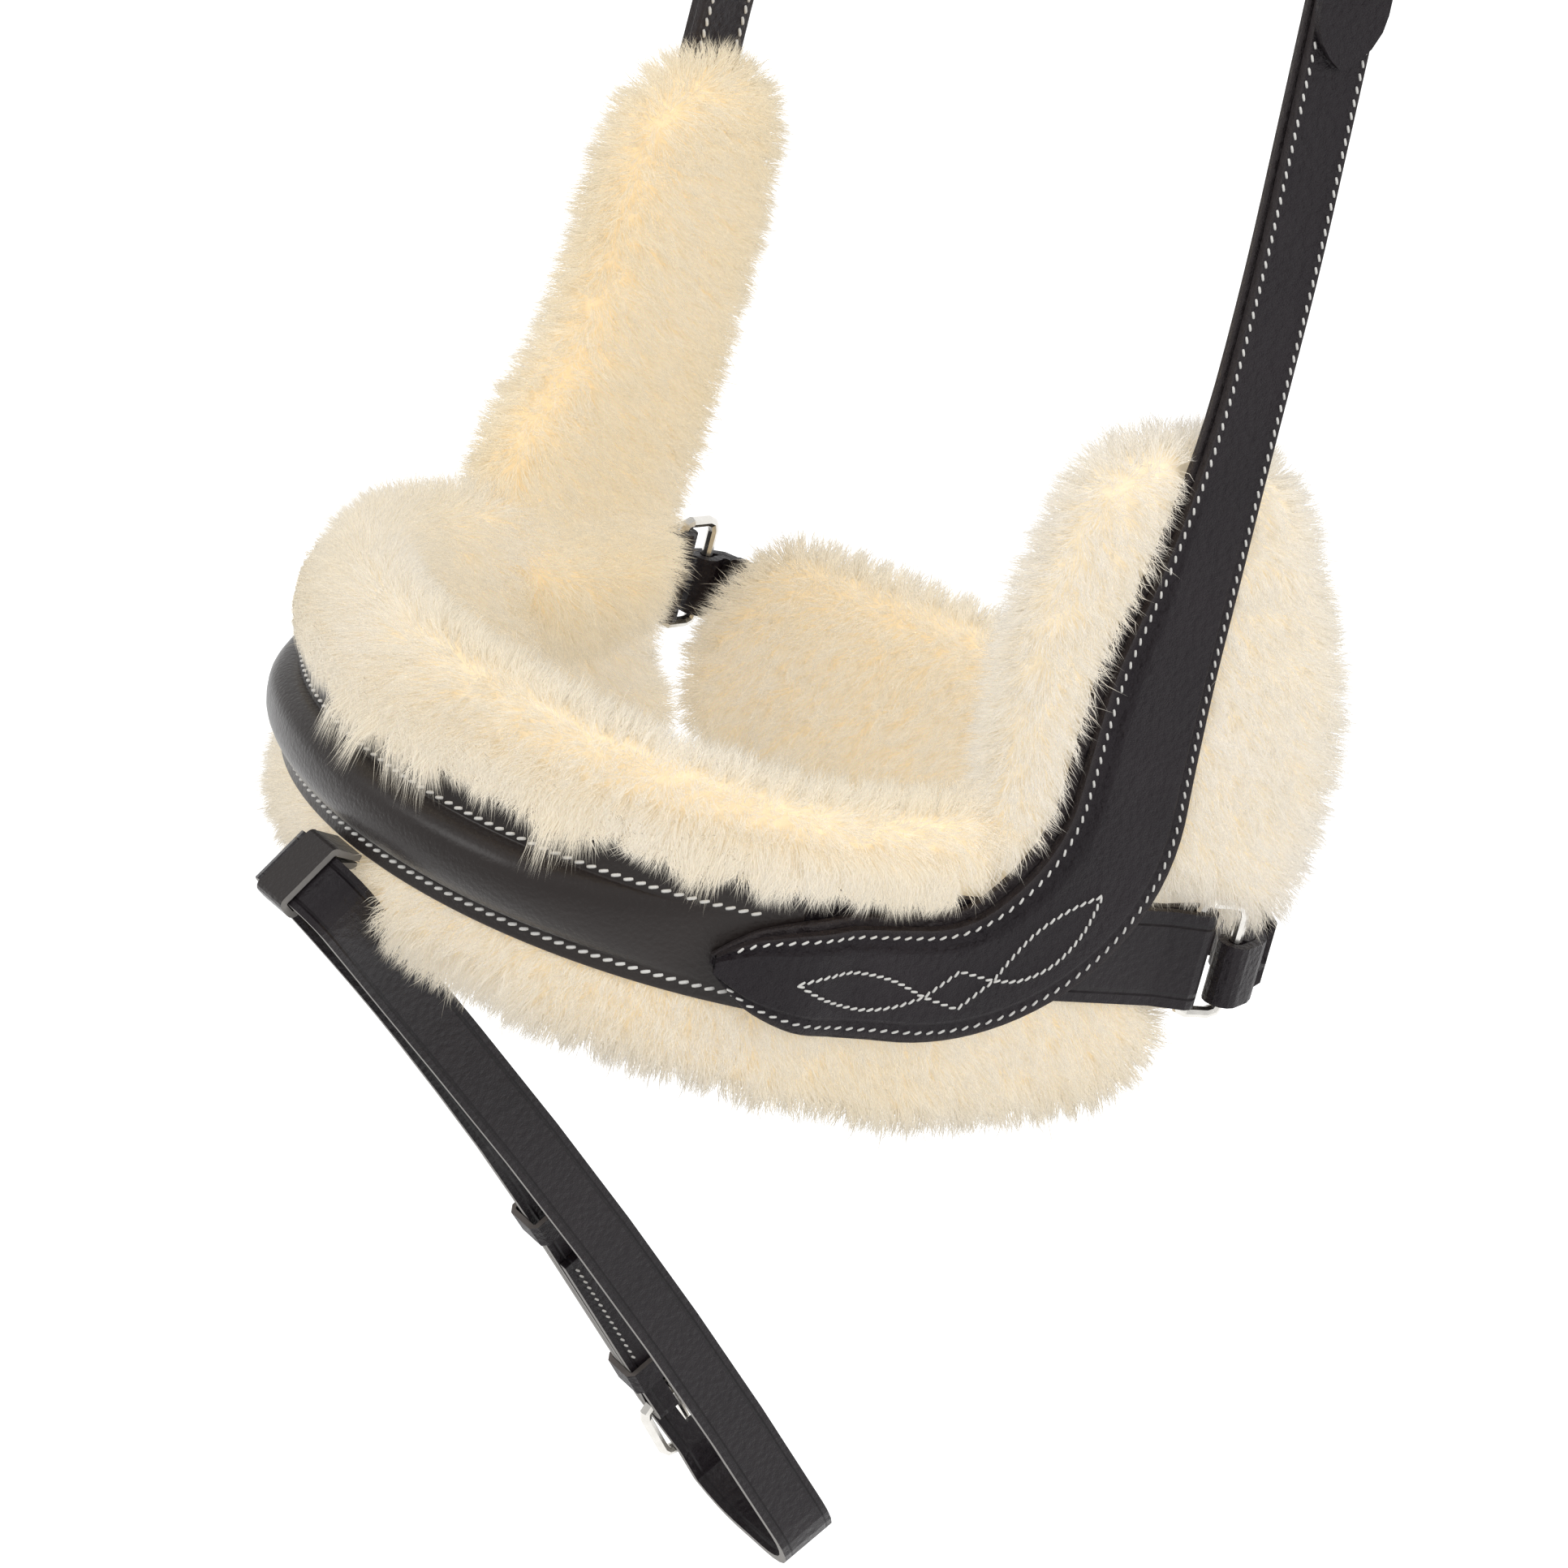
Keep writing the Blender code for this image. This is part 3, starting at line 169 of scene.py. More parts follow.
# %% [markdown]
# A white sweep stands behind and below. The camera sees most of its white directly, so that the
# lamps can stay at a level where leather and wool show the colours they are given. The rest of
# its light is ordinary, and carries the soft shadow. From behind, the sweep is clear.

# %% Floor and light
FLOOR_HEIGHT = -0.86
SWEEP_FAR = 1.6
SWEEP_BEND = 0.8
WALL_TOP = 2.4
SWEEP_HALF = 4.0


def make_floor():
    profile = [(-SWEEP_FAR, FLOOR_HEIGHT), (SWEEP_FAR, FLOOR_HEIGHT)]
    for turn in np.linspace(0.2, 1.57, 8):
        profile.append((SWEEP_FAR + SWEEP_BEND * math.sin(turn),
                        FLOOR_HEIGHT + SWEEP_BEND * (1 - math.cos(turn))))
    profile.append((SWEEP_FAR + SWEEP_BEND, WALL_TOP))
    many = len(profile)
    points = [(x, y, z) for x in (-SWEEP_HALF, SWEEP_HALF) for y, z in profile]
    faces = [(step, many + step, many + step + 1, step + 1) for step in range(many - 1)]
    data = bpy.data.meshes.new("white_sweep")
    data.from_pydata(points, [], faces)
    data.shade_smooth()
    piece = bpy.data.objects.new("white_sweep", data)
    scene.collection.objects.link(piece)
    material = bpy.data.materials.new("white_paper")
    material.use_nodes = True
    tree = material.node_tree
    tree.nodes.clear()
    path = tree.nodes.new("ShaderNodeLightPath")
    mirrored = math_node(tree, "MAXIMUM", path.outputs["Is Glossy Ray"], path.outputs["Is Transmission Ray"])
    glow = tree.nodes.new("ShaderNodeEmission")
    glow.inputs["Color"].default_value = (1.0, 1.0, 1.0, 1.0)
    seen = math_node(tree, "MAXIMUM", path.outputs["Is Camera Ray"], mirrored)
    tree.links.new(seen, glow.inputs["Strength"])
    paper = tree.nodes.new("ShaderNodeBsdfDiffuse")
    paper.inputs["Color"].default_value = (0.4, 0.4, 0.4, 1.0)
    both = tree.nodes.new("ShaderNodeAddShader")
    tree.links.new(glow.outputs[0], both.inputs[0])
    tree.links.new(paper.outputs[0], both.inputs[1])
    behind = tree.nodes.new("ShaderNodeNewGeometry").outputs["Backfacing"]
    clear = tree.nodes.new("ShaderNodeBsdfTransparent").outputs[0]
    out = tree.nodes.new("ShaderNodeOutputMaterial")
    tree.links.new(mix_shaders(tree, behind, both.outputs[0], clear), out.inputs["Surface"])
    data.materials.append(material)
    piece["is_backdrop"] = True


def add_lamp(name, place, target, size, power):
    data = bpy.data.lights.new(name, "AREA")
    data.size = size
    data.energy = power
    lamp = bpy.data.objects.new(name, data)
    lamp.location = place
    lamp.rotation_euler = (Vector(place) - Vector(target)).to_track_quat("Z", "Y").to_euler()
    scene.collection.objects.link(lamp)


SKY_LIGHT = 0.7
LAMP_TARGET = (0.0, -0.15, -0.4)

make_floor()
world = bpy.data.worlds.new("studio")
scene.world = world
world.use_nodes = True
sky_tree = world.node_tree
sky = sky_tree.nodes["Background"]
sky.inputs["Color"].default_value = (1.0, 1.0, 1.0, 1.0)
sky_path = sky_tree.nodes.new("ShaderNodeLightPath")
sky_level = value_range(sky_tree, sky_path.outputs["Is Camera Ray"], SKY_LIGHT, 1.0)
sky_tree.links.new(sky_level, sky.inputs["Strength"])
add_lamp("key", (-0.5, -1.7, 1.5), LAMP_TARGET, 0.9, 10.5)
add_lamp("fill", (1.9, 0.4, 0.6), LAMP_TARGET, 1.2, 14.0)
scene.view_settings.view_transform = "Standard"
print("lights set")

# %% [markdown]
# The leather's line is written once as straight and curved legs, just as a saddler would chalk
# it: a run round the nose, a climb up the cheek, and a distance out from the horse. Every visible
# piece then asks the same three numbers for its place, so layers stay parallel.

# %% The lines of the leather
LEAN = math.radians(16.6)
GAP = 0.0003
STRAP_WIDTH = 0.016
STRAP_THICK = 0.0022
BACKING_THICK = 0.002
COVER_THICK = 0.0015
SIDE_FLARE = math.radians(10.4)
CHEEK_RUN = 0.1724


def arc_leg(radius, turn):
    return (radius * abs(turn), turn)


def leg_length(legs):
    return sum(length for length, turn in legs)


def walk(legs, distance):
    along = aside = heading = 0.0
    for length, turn in legs:
        step = min(distance, length)
        if turn:
            angle = turn * step / length
            radius = length / turn
            along += radius * (math.sin(heading + angle) - math.sin(heading))
            aside += radius * (math.cos(heading) - math.cos(heading + angle))
            heading += angle
        else:
            along += step * math.cos(heading)
            aside += step * math.sin(heading)
        distance -= step
        if distance <= 0:
            return along, aside, heading
    return along + distance * math.cos(heading), aside + distance * math.sin(heading), heading


NOSE_TURN = math.radians(57.5)
SIDE_FACING = math.pi / 2 - SIDE_FLARE
PLAN_LEGS = [arc_leg(0.0955, NOSE_TURN), arc_leg(0.037, SIDE_FACING - NOSE_TURN)]
CONVERGE = math.radians(4.5)
HEAD_LEGS = [(0.13, 0.0), arc_leg(0.51, CONVERGE), (0.198, 0.0), arc_leg(0.055, math.pi / 2 - CONVERGE)]
CHEEK_ACROSS = walk(PLAN_LEGS, CHEEK_RUN)[0]
CHEEK_FORWARD = -walk(PLAN_LEGS, CHEEK_RUN)[1]
HEAD_LENGTH = leg_length(HEAD_LEGS)
POLL_HEIGHT, POLL_INWARD = walk(HEAD_LEGS, HEAD_LENGTH)[:2]
HALF_HEAD = HEAD_LENGTH + CHEEK_ACROSS - POLL_INWARD
CHEEK_LAYER = BACKING_THICK + GAP
CHEEK_MIDDLE = CHEEK_LAYER + STRAP_THICK + GAP / 2
SLIP_LAYER = CHEEK_MIDDLE + GAP / 2 + STRAP_THICK / 2


def lean_back(across, forward, height):
    return Vector((
        across,
        height * math.sin(LEAN) - forward * math.cos(LEAN),
        height * math.cos(LEAN) + forward * math.sin(LEAN),
    ))


SLIP_UNDER = SLIP_LAYER - STRAP_THICK / 2
POLL_POINT = lean_back(
    0.0,
    CHEEK_FORWARD + SLIP_UNDER * math.cos(SIDE_FACING),
    POLL_HEIGHT + SLIP_UNDER * math.sin(SIDE_FACING),
)


def place(across, forward, height):
    return lean_back(across, forward, height) - POLL_POINT


def skin(run, climb, out):
    side = math.copysign(1, run)
    across, backward, facing = walk(PLAN_LEGS, abs(run))
    height, inward, tilt = walk(HEAD_LEGS, climb) if climb > 0 else (climb, 0.0, 0.0)
    reach = across + out * math.sin(facing) - CHEEK_ACROSS
    return place(
        side * (CHEEK_ACROSS - inward + reach * math.cos(tilt)),
        out * math.cos(facing) - backward,
        height + reach * math.sin(tilt),
    )


def ease(value, start, end):
    share = min(max((value - start) / (end - start), 0.0), 1.0)
    return share * share * (3 - 2 * share)


def blend(low, high, share):
    return low + (high - low) * share


def smooth_table(table, key, column):
    """A flowing curve through a column of a table, as a bent batten gives."""
    keys = [row[0] for row in table]
    values = [row[column] for row in table]
    index = min(max(int(np.searchsorted(keys, key)) - 1, 0), len(keys) - 2)
    def slope(i):
        if i == 0 or i == len(keys) - 1:
            j = min(max(i, 1), len(keys) - 1)
            return (values[j] - values[j - 1]) / (keys[j] - keys[j - 1])
        return (values[i + 1] - values[i - 1]) / (keys[i + 1] - keys[i - 1])
    span = keys[index + 1] - keys[index]
    t = min(max((key - keys[index]) / span, 0.0), 1.0)
    return (
        (2 * t ** 3 - 3 * t ** 2 + 1) * values[index] + (t ** 3 - 2 * t ** 2 + t) * span * slope(index)
        + (3 * t ** 2 - 2 * t ** 3) * values[index + 1] + (t ** 3 - t ** 2) * span * slope(index + 1)
    )


print("cheek strap at x mm:", round(skin(CHEEK_RUN, 0.1, 0.0).x * 1000, 1))

# %% [markdown]
# Leather looks real through its grain and not its colour: small pebbles with fine pores between
# them, and a slow change of tone where hands have worked it. One shader group makes both, so all
# the leathers share a hide and differ only by their own numbers.

# %% Leather grain group
def new_group(name, inputs, outputs):
    group = bpy.data.node_groups.new(name, "ShaderNodeTree")
    for label, kind, value in inputs:
        socket = group.interface.new_socket(label, in_out="INPUT", socket_type=kind)
        socket.default_value = value
    for label, kind in outputs:
        group.interface.new_socket(label, in_out="OUTPUT", socket_type=kind)
    return group, group.nodes.new("NodeGroupInput"), group.nodes.new("NodeGroupOutput")


grain, grain_in, grain_out = new_group(
    "leather_grain",
    [("Pebble Scale", "NodeSocketFloat", 1100.0), ("Crease", "NodeSocketFloat", 0.3)],
    [("Height", "NodeSocketFloat"), ("Tone", "NodeSocketFloat")],
)
hide = grain.nodes.new("ShaderNodeTexCoord").outputs["Object"]
pebbles = grain.nodes.new("ShaderNodeTexVoronoi")
pebbles.feature = "SMOOTH_F1"
grain.links.new(hide, pebbles.inputs["Vector"])
grain.links.new(grain_in.outputs["Pebble Scale"], pebbles.inputs["Scale"])
pores = noise_node(grain, hide, 2600.0, 3.0)
folds = noise_node(grain, hide, 120.0, 4.0)
fine = math_node(grain, "ADD", math_node(grain, "MULTIPLY", pebbles.outputs["Distance"], 0.6),
                 math_node(grain, "MULTIPLY", pores, 0.4))
rough = math_node(grain, "MULTIPLY", folds, grain_in.outputs["Crease"])
grain.links.new(math_node(grain, "ADD", fine, rough), grain_out.inputs["Height"])
grain.links.new(noise_node(grain, hide, 38.0, 3.0), grain_out.inputs["Tone"])
print("group:", grain.name)

# %% [markdown]
# Each leather mixes a dark and a worn tone by that group, and a rim mask lightens edges as a painted
# highlight. The rim is stored on the mesh as it is built, so it stays exactly on the edge.

# %% Leather finishes
LINE_PLACE = 0.74
LINE_HALF = 0.075
LINE_DEPTH = 1.6


def pressed_lines(tree):
    """1 on plain leather, falling to 0 in the two lines pressed beside a strap's edges."""
    from_middle = math_node(tree, "ABSOLUTE", stored_mask(tree, "aside"))
    off_line = math_node(tree, "ABSOLUTE", math_node(tree, "SUBTRACT", from_middle, LINE_PLACE))
    node = tree.nodes.new("ShaderNodeMapRange")
    node.interpolation_type = "SMOOTHSTEP"
    tree.links.new(off_line, node.inputs["Value"])
    node.inputs["From Max"].default_value = LINE_HALF
    return node.outputs["Result"]


def leather(name, dark, worn, edge, roughness, depth, pebble=1100.0, crease=0.3, polish=0.0,
            lines=False):
    material, tree, shader = new_material(name)
    group = tree.nodes.new("ShaderNodeGroup")
    group.node_tree = grain
    group.inputs["Pebble Scale"].default_value = pebble
    group.inputs["Crease"].default_value = crease
    tone = mix_colour(tree, group.outputs["Tone"], dark, worn)
    # The rim mask mixes in the lighter edge colour, a painted highlight along the leather's edges.
    tree.links.new(mix_colour(tree, stored_mask(tree, "rim"), tone, edge), shader.inputs["Base Color"])
    tree.links.new(value_range(tree, group.outputs["Height"], roughness - 0.1, roughness + 0.1),
                   shader.inputs["Roughness"])
    height = group.outputs["Height"]
    if lines:
        height = math_node(tree, "ADD", height, math_node(tree, "MULTIPLY", pressed_lines(tree), LINE_DEPTH))
    add_bump(tree, shader, height, 0.8, depth)
    shader.inputs["Specular IOR Level"].default_value = 0.25
    shader.inputs["Coat Weight"].default_value = polish
    shader.inputs["Coat Roughness"].default_value = 0.3
    shader.inputs["Sheen Weight"].default_value = polish
    shader.inputs["Sheen Roughness"].default_value = 0.35
    return material


DARK_LEATHER = leather(
    "dark_leather", (0.006, 0.004, 0.006), (0.019, 0.013, 0.017), (0.034, 0.027, 0.028), 0.36,
    0.0014, 700.0, 0.8)
PADDED_LEATHER = leather(
    "padded_leather", (0.013, 0.009, 0.008), (0.027, 0.020, 0.018), (0.034, 0.027, 0.025), 0.36, 0.0003,
    polish=0.3)
LINED_LEATHER = leather(
    "lined_leather", (0.006, 0.004, 0.006), (0.018, 0.013, 0.016), (0.034, 0.027, 0.028), 0.36,
    0.0007, 700.0, 0.4, polish=0.05, lines=True)
print("leathers:", DARK_LEATHER.name, PADDED_LEATHER.name, LINED_LEATHER.name)

# %% [markdown]
# Nickel plate is bright, with a faint polishing haze. Linen thread is off-white and slightly
# fuzzy. The wool runs from straw at the skin to near white at the tips, and that change is stored
# along every strand. Its roots are darker partly as painted shade, and a faint glow of painted
# light brightens it in its shadows.

# %% Nickel, thread and wool finishes
def nickel_plate():
    material, tree, shader = new_material("nickel_plate")
    haze = noise_node(tree, object_place(tree), 420.0, 4.0)
    shader.inputs["Metallic"].default_value = 1.0
    metal = mix_colour(tree, haze, (0.62, 0.60, 0.56), (0.78, 0.76, 0.72))
    tree.links.new(metal, shader.inputs["Base Color"])
    tree.links.new(value_range(tree, haze, 0.14, 0.32), shader.inputs["Roughness"])
    add_bump(tree, shader, haze, 0.15, 0.0001)
    return material


def linen_thread():
    material, tree, shader = new_material("linen_thread")
    fuzz = noise_node(tree, object_place(tree), 3000.0, 2.0)
    linen = mix_colour(tree, fuzz, (0.74, 0.72, 0.68), (0.93, 0.92, 0.89))
    tree.links.new(linen, shader.inputs["Base Color"])
    tree.links.new(value_range(tree, fuzz, 0.65, 0.9), shader.inputs["Roughness"])
    add_bump(tree, shader, fuzz, 1.0, 0.0001)
    return material


def sheep_wool(name, warmth):
    """Wool between creamy white (0) and peach (1)."""
    def tone(pale, warm):
        return tuple(blend(first, second, warmth) for first, second in zip(pale, warm))
    # The roots take the wool's straw colour, darkened further as painted shade at the fleece's base; the
    # undercoat takes it too.
    straw_and_shade_roots = (tone((0.92, 0.81, 0.62), (0.95, 0.74, 0.44)),
                  tone((0.96, 0.89, 0.77), (0.97, 0.83, 0.57)))
    tip_tones = (tone((0.98, 0.93, 0.83), (0.99, 0.86, 0.60)),
                 tone((1.0, 0.97, 0.93), (1.0, 0.92, 0.74)))
    material, tree, shader = new_material(name)
    spot = object_place(tree)
    patches = noise_node(tree, spot, 26.0, 3.0)
    tips = mix_colour(tree, value_range(tree, patches, -0.6, 1.5), *tip_tones)
    roots = mix_colour(tree, stored_mask(tree, "lock"), *straw_and_shade_roots)
    along = stored_mask(tree, "tip")
    colour = mix_colour(tree, along, roots, tips)
    tree.links.new(colour, shader.inputs["Base Color"])
    tree.links.new(value_range(tree, patches, 0.8, 0.95), shader.inputs["Roughness"])
    shader.inputs["Specular IOR Level"].default_value = 0.1
    add_bump(tree, shader, noise_node(tree, spot, 1100.0, 2.0), 0.25, 0.0006)
    # Painted light: the wool glows faintly by emission to lift its shadows, and the glow is dimmer at the
    # roots as painted shade.
    painted_glow = mix_colour(tree, along, tone((0.72, 0.64, 0.50), (0.78, 0.62, 0.38)), tips)
    tree.links.new(painted_glow, shader.inputs["Emission Color"])
    shader.inputs["Emission Strength"].default_value = 0.32
    clear = tree.nodes.new("ShaderNodeBsdfTransparent").outputs[0]
    path = tree.nodes.new("ShaderNodeLightPath")
    half_shadow = math_node(tree, "MULTIPLY", path.outputs["Is Shadow Ray"], 0.6)
    thin_tip = math_node(tree, "MULTIPLY", math_node(tree, "POWER", along, 3.0), 0.75)
    openness = math_node(tree, "MAXIMUM", half_shadow, thin_tip)
    open_wool = mix_shaders(tree, openness, shader.outputs[0], clear)
    tree.links.new(open_wool, tree.nodes["Material Output"].inputs["Surface"])
    return material


NICKEL = nickel_plate()
THREAD = linen_thread()
WOOL = {name + "_fleece": sheep_wool(name + "_wool", warmth) for name, warmth in
        (("nose", 0.34), ("near_cheek", 0.10), ("off_cheek", 0.66), ("chin", 0.42))}
print("finishes:", NICKEL.name, THREAD.name, [material.name for material in WOOL.values()])

# %% [markdown]
# Cut leather has a softly rounded edge, which catches a thin line of light. A bevel that works
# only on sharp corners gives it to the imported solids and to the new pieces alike.

# %% Helpers that put pieces in place
def put(name, data, material, slot, body, *stands_for):
    piece = bpy.data.objects.new(name, data)
    scene.collection.objects.link(piece)
    data.materials.append(material)
    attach(piece, body)
    if stands_for:
        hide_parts(*stands_for)
    return piece


def soften(piece, width):
    bevel = piece.modifiers.new("edge", "BEVEL")
    bevel.width = width
    bevel.segments = 2
    bevel.limit_method = "ANGLE"
    bevel.angle_limit = math.radians(48)
    return piece


def store(data, name, values):
    """Keep a value for every point of a mesh, for a material to read."""
    layer = data.attributes.new(name, "FLOAT", "POINT")
    layer.data.foreach_set("value", np.asarray(values, dtype=np.float32))


def mesh_from(name, points, faces, mark, values):
    data = bpy.data.meshes.new(name)
    data.from_pydata([tuple(point) for point in points], [], faces)
    store(data, mark, values)
    body = bmesh.new()
    body.from_mesh(data)
    bmesh.ops.recalc_face_normals(body, faces=body.faces[:])
    if body.calc_volume(signed=True) < 0:
        bmesh.ops.reverse_faces(body, faces=body.faces[:])
    body.to_mesh(data)
    body.free()
    data.shade_smooth()
    data.set_sharp_from_angle(angle=math.radians(42))
    return data


def leather_sheet(name, rows, columns, spot):
    """A sheet of leather with thickness; spot(row, column, face) places its points."""
    wide = len(columns)
    many = len(rows) * wide
    points = [spot(row, column, face) for face in (0, 1) for row in rows for column in columns]
    # rim marks the edge columns, which the leathers lighten as a painted highlight.
    rim = [1.0 if abs(column) > 0.999 else 0.0 for face in (0, 1) for row in rows for column in columns]
    def at(row, column, face):
        return face * many + row * wide + column
    faces = []
    for row in range(len(rows) - 1):
        for column in range(wide - 1):
            for face in (0, 1):
                faces.append((at(row, column, face), at(row, column + 1, face),
                              at(row + 1, column + 1, face), at(row + 1, column, face)))
        for column in (0, wide - 1):
            faces.append((at(row, column, 0), at(row + 1, column, 0),
                          at(row + 1, column, 1), at(row, column, 1)))
    for column in range(wide - 1):
        for row in (0, len(rows) - 1):
            faces.append((at(row, column, 0), at(row, column + 1, 0),
                          at(row, column + 1, 1), at(row, column, 1)))
    return mesh_from(name, points, faces, "rim", rim)


print("helpers ready")

# %% [markdown]
# The nosepiece's cover swells over its padding and lies flat at its stitched flanges. The swell
# follows a rounded curve that drops steeply to the stitching, as leather does when it is pulled
# down over foam.

# %% Nosepiece cover
COVER_RUN = 0.104
DOME_RUN = 0.087
NOSE_MIDDLE = -0.0008
NOSE_HALF = 0.0145
DOME_HEIGHT = 0.006
DOME_BELOW = 0.71
DOME_ABOVE = 0.38


def nose_swell(run, share):
    across = min(abs(share) / (DOME_ABOVE if share > 0 else DOME_BELOW), 1.0)
    return (1 - across ** 2.4) ** 0.6 * (1 - ease(abs(run), DOME_RUN - 0.045, DOME_RUN + 0.004))


def cover_point(run, share, out):
    lift = BACKING_THICK + GAP + DOME_HEIGHT * nose_swell(run, share)
    return skin(run, NOSE_MIDDLE + NOSE_HALF * share, lift + out)


cover_columns = [-1, -0.93, -0.85, -0.77, -0.73, -0.71, -0.69, -0.66, -0.61, -0.54, -0.44, -0.32, -0.16, 0]
cover_columns += [0.1, 0.18, 0.25, 0.3, 0.34, 0.36, 0.38, 0.41, 0.46, 0.54, 0.65, 0.76, 0.88, 1]
cover_rows = list(np.linspace(-COVER_RUN, COVER_RUN, 105))
cover_mesh = leather_sheet("nose_cover_leather", cover_rows, cover_columns,
                           lambda run, share, face: cover_point(run, share, COVER_THICK * face))
cover_piece = put("nose_cover_leather", cover_mesh, PADDED_LEATHER, "padded_leather", "noseband",
                  "nose_cover", "nose_padding")
soften(cover_piece, 0.0004)
print("cover faces:", len(cover_mesh.polygons))

# %% [markdown]
# Each cheek piece starts as a pointed lobe on the nosepiece, turns up the cheek and narrows to a
# plain strap. Its middle is raised over a cord of padding, and a lower rim carries the stitching.

# %% Cheek pieces
LOBE_TIP_RUN = 0.088
LOBE_MIDDLE = -0.0052
LOBE_RADIUS = 0.042
FLARE_CLIMB = 0.117
CHEEK_TOP = 0.2217
OFF_BACKING_TOP = CHEEK_TOP + 0.028
LOBE_LEGS = [(CHEEK_RUN - LOBE_RADIUS - LOBE_TIP_RUN, 0.0), arc_leg(LOBE_RADIUS, math.pi / 2)]
FLARE_LENGTH = LOBE_LEGS[0][0] + LOBE_LEGS[1][0] + FLARE_CLIMB - LOBE_MIDDLE - LOBE_RADIUS
CHEEK_OUTLINE = (
    (0.000, 0.14, 0.14), (0.020, 0.62, 0.62), (0.050, 1.15, 1.20), (0.110, 1.62, 1.68),
    (0.200, 1.76, 1.80), (0.300, 1.86, 1.90), (0.400, 2.14, 1.95), (0.500, 2.22, 1.84),
    (0.600, 2.14, 1.56), (0.730, 2.06, 1.32), (0.860, 1.46, 1.20), (1.000, 1.05, 1.08),
    (1.150, 1.00, 1.00), (3.000, 1.00, 1.00),
)
RIM_SHARE = 0.13
RAISE = 0.0014


def cheek_spot(along, aside):
    run, climb, heading = walk(LOBE_LEGS, along)
    return (LOBE_TIP_RUN + run - aside * math.sin(heading), LOBE_MIDDLE + climb + aside * math.cos(heading))


def cheek_half(along, share):
    key = along / FLARE_LENGTH
    return smooth_table(CHEEK_OUTLINE, key, 1 if share > 0 else 2) * STRAP_WIDTH / 2


def cheek_lift(run):
    sink = ease(run, 0.1055, 0.116)
    return CHEEK_LAYER + (COVER_THICK + GAP) * (1 - sink)


def cheek_swell(along, share):
    fade = 1 - ease(along / FLARE_LENGTH, 0.72, 1.0)
    return RAISE * fade * ease(0.76 - abs(share), 0.0, 0.14)


def cheek_point(side, along, share, out, inset):
    aside = share * cheek_half(along, share) * (1 - inset)
    run, climb = cheek_spot(along, aside)
    if along == 0:
        run += inset * STRAP_WIDTH
    return skin(side * run, climb, cheek_lift(cheek_spot(along, 0.0)[0]) + out)


def cheek_rows(top):
    flare = [FLARE_LENGTH * share ** 1.25 for share in np.linspace(0, 1, 72)]
    return flare + list(np.arange(FLARE_LENGTH + 0.006, FLARE_LENGTH + top - FLARE_CLIMB - 0.003, 0.008)) + [
        FLARE_LENGTH + top - FLARE_CLIMB]


top_columns = [-1, -0.9, -0.8, -0.76, -0.72, -0.68, -0.62, -0.5, -0.25, 0]
top_columns += [-share for share in reversed(top_columns[:-1])]
for prefix, side, backing_top in (("near", 1, CHEEK_TOP), ("off", -1, OFF_BACKING_TOP)):
    lower = leather_sheet(prefix + "_cheek_lower", cheek_rows(backing_top), [-1, -0.5, 0, 0.5, 1],
                          lambda along, share, face: cheek_point(side, along, share, STRAP_THICK * face, 0.0))
    soften(put(prefix + "_cheek_lower", lower, DARK_LEATHER, "dark_leather", "noseband",
               prefix + "_cheek_backing"), 0.0005)
    upper = leather_sheet(prefix + "_cheek_upper", cheek_rows(CHEEK_TOP), top_columns,
                          lambda along, share, face: cheek_point(
                              side, along, share,
                              STRAP_THICK * (1 + face) + GAP + face * cheek_swell(along, share), RIM_SHARE))
    soften(put(prefix + "_cheek_upper", upper, DARK_LEATHER, "dark_leather", "noseband",
               prefix + "_cheek"), 0.0006)
    print(prefix, "cheek faces:", len(lower.polygons) + len(upper.polygons))

# %% [markdown]
# Saddle stitching is a row of separate slanted stitches, each about two millimetres of thread
# that dives into its hole. Modelled as small spindles they catch light as real ones do,
# which a bump line could not.

# %% Stitching
def along_path(path, pitch):
    """Places, directions and outward normals at equal steps along path(share)."""
    shares = np.linspace(0.0, 1.0, 600)
    line = np.array([path(share, 0.0) for share in shares])
    lengths = np.concatenate([[0], np.cumsum(np.linalg.norm(np.diff(line, axis=0), axis=1))])
    count = max(int(lengths[-1] / pitch), 1)
    steps = np.interp((np.arange(count) + 0.5) * lengths[-1] / count, lengths, shares)
    spots = []
    for share in steps:
        here = path(share, 0.0)
        ahead = (path(min(share + 1e-3, 1.0), 0.0) - path(max(share - 1e-3, 0.0), 0.0)).normalized()
        out = (path(share, 1e-4) - here).normalized()
        spots.append((here, ahead, out))
    return spots


STITCH_SLANT = math.radians(22)
STITCH_RINGS = ((-0.5, 0.0), (-0.43, 0.75), (-0.2, 1.0), (0.2, 1.0), (0.43, 0.75), (0.5, 0.0))


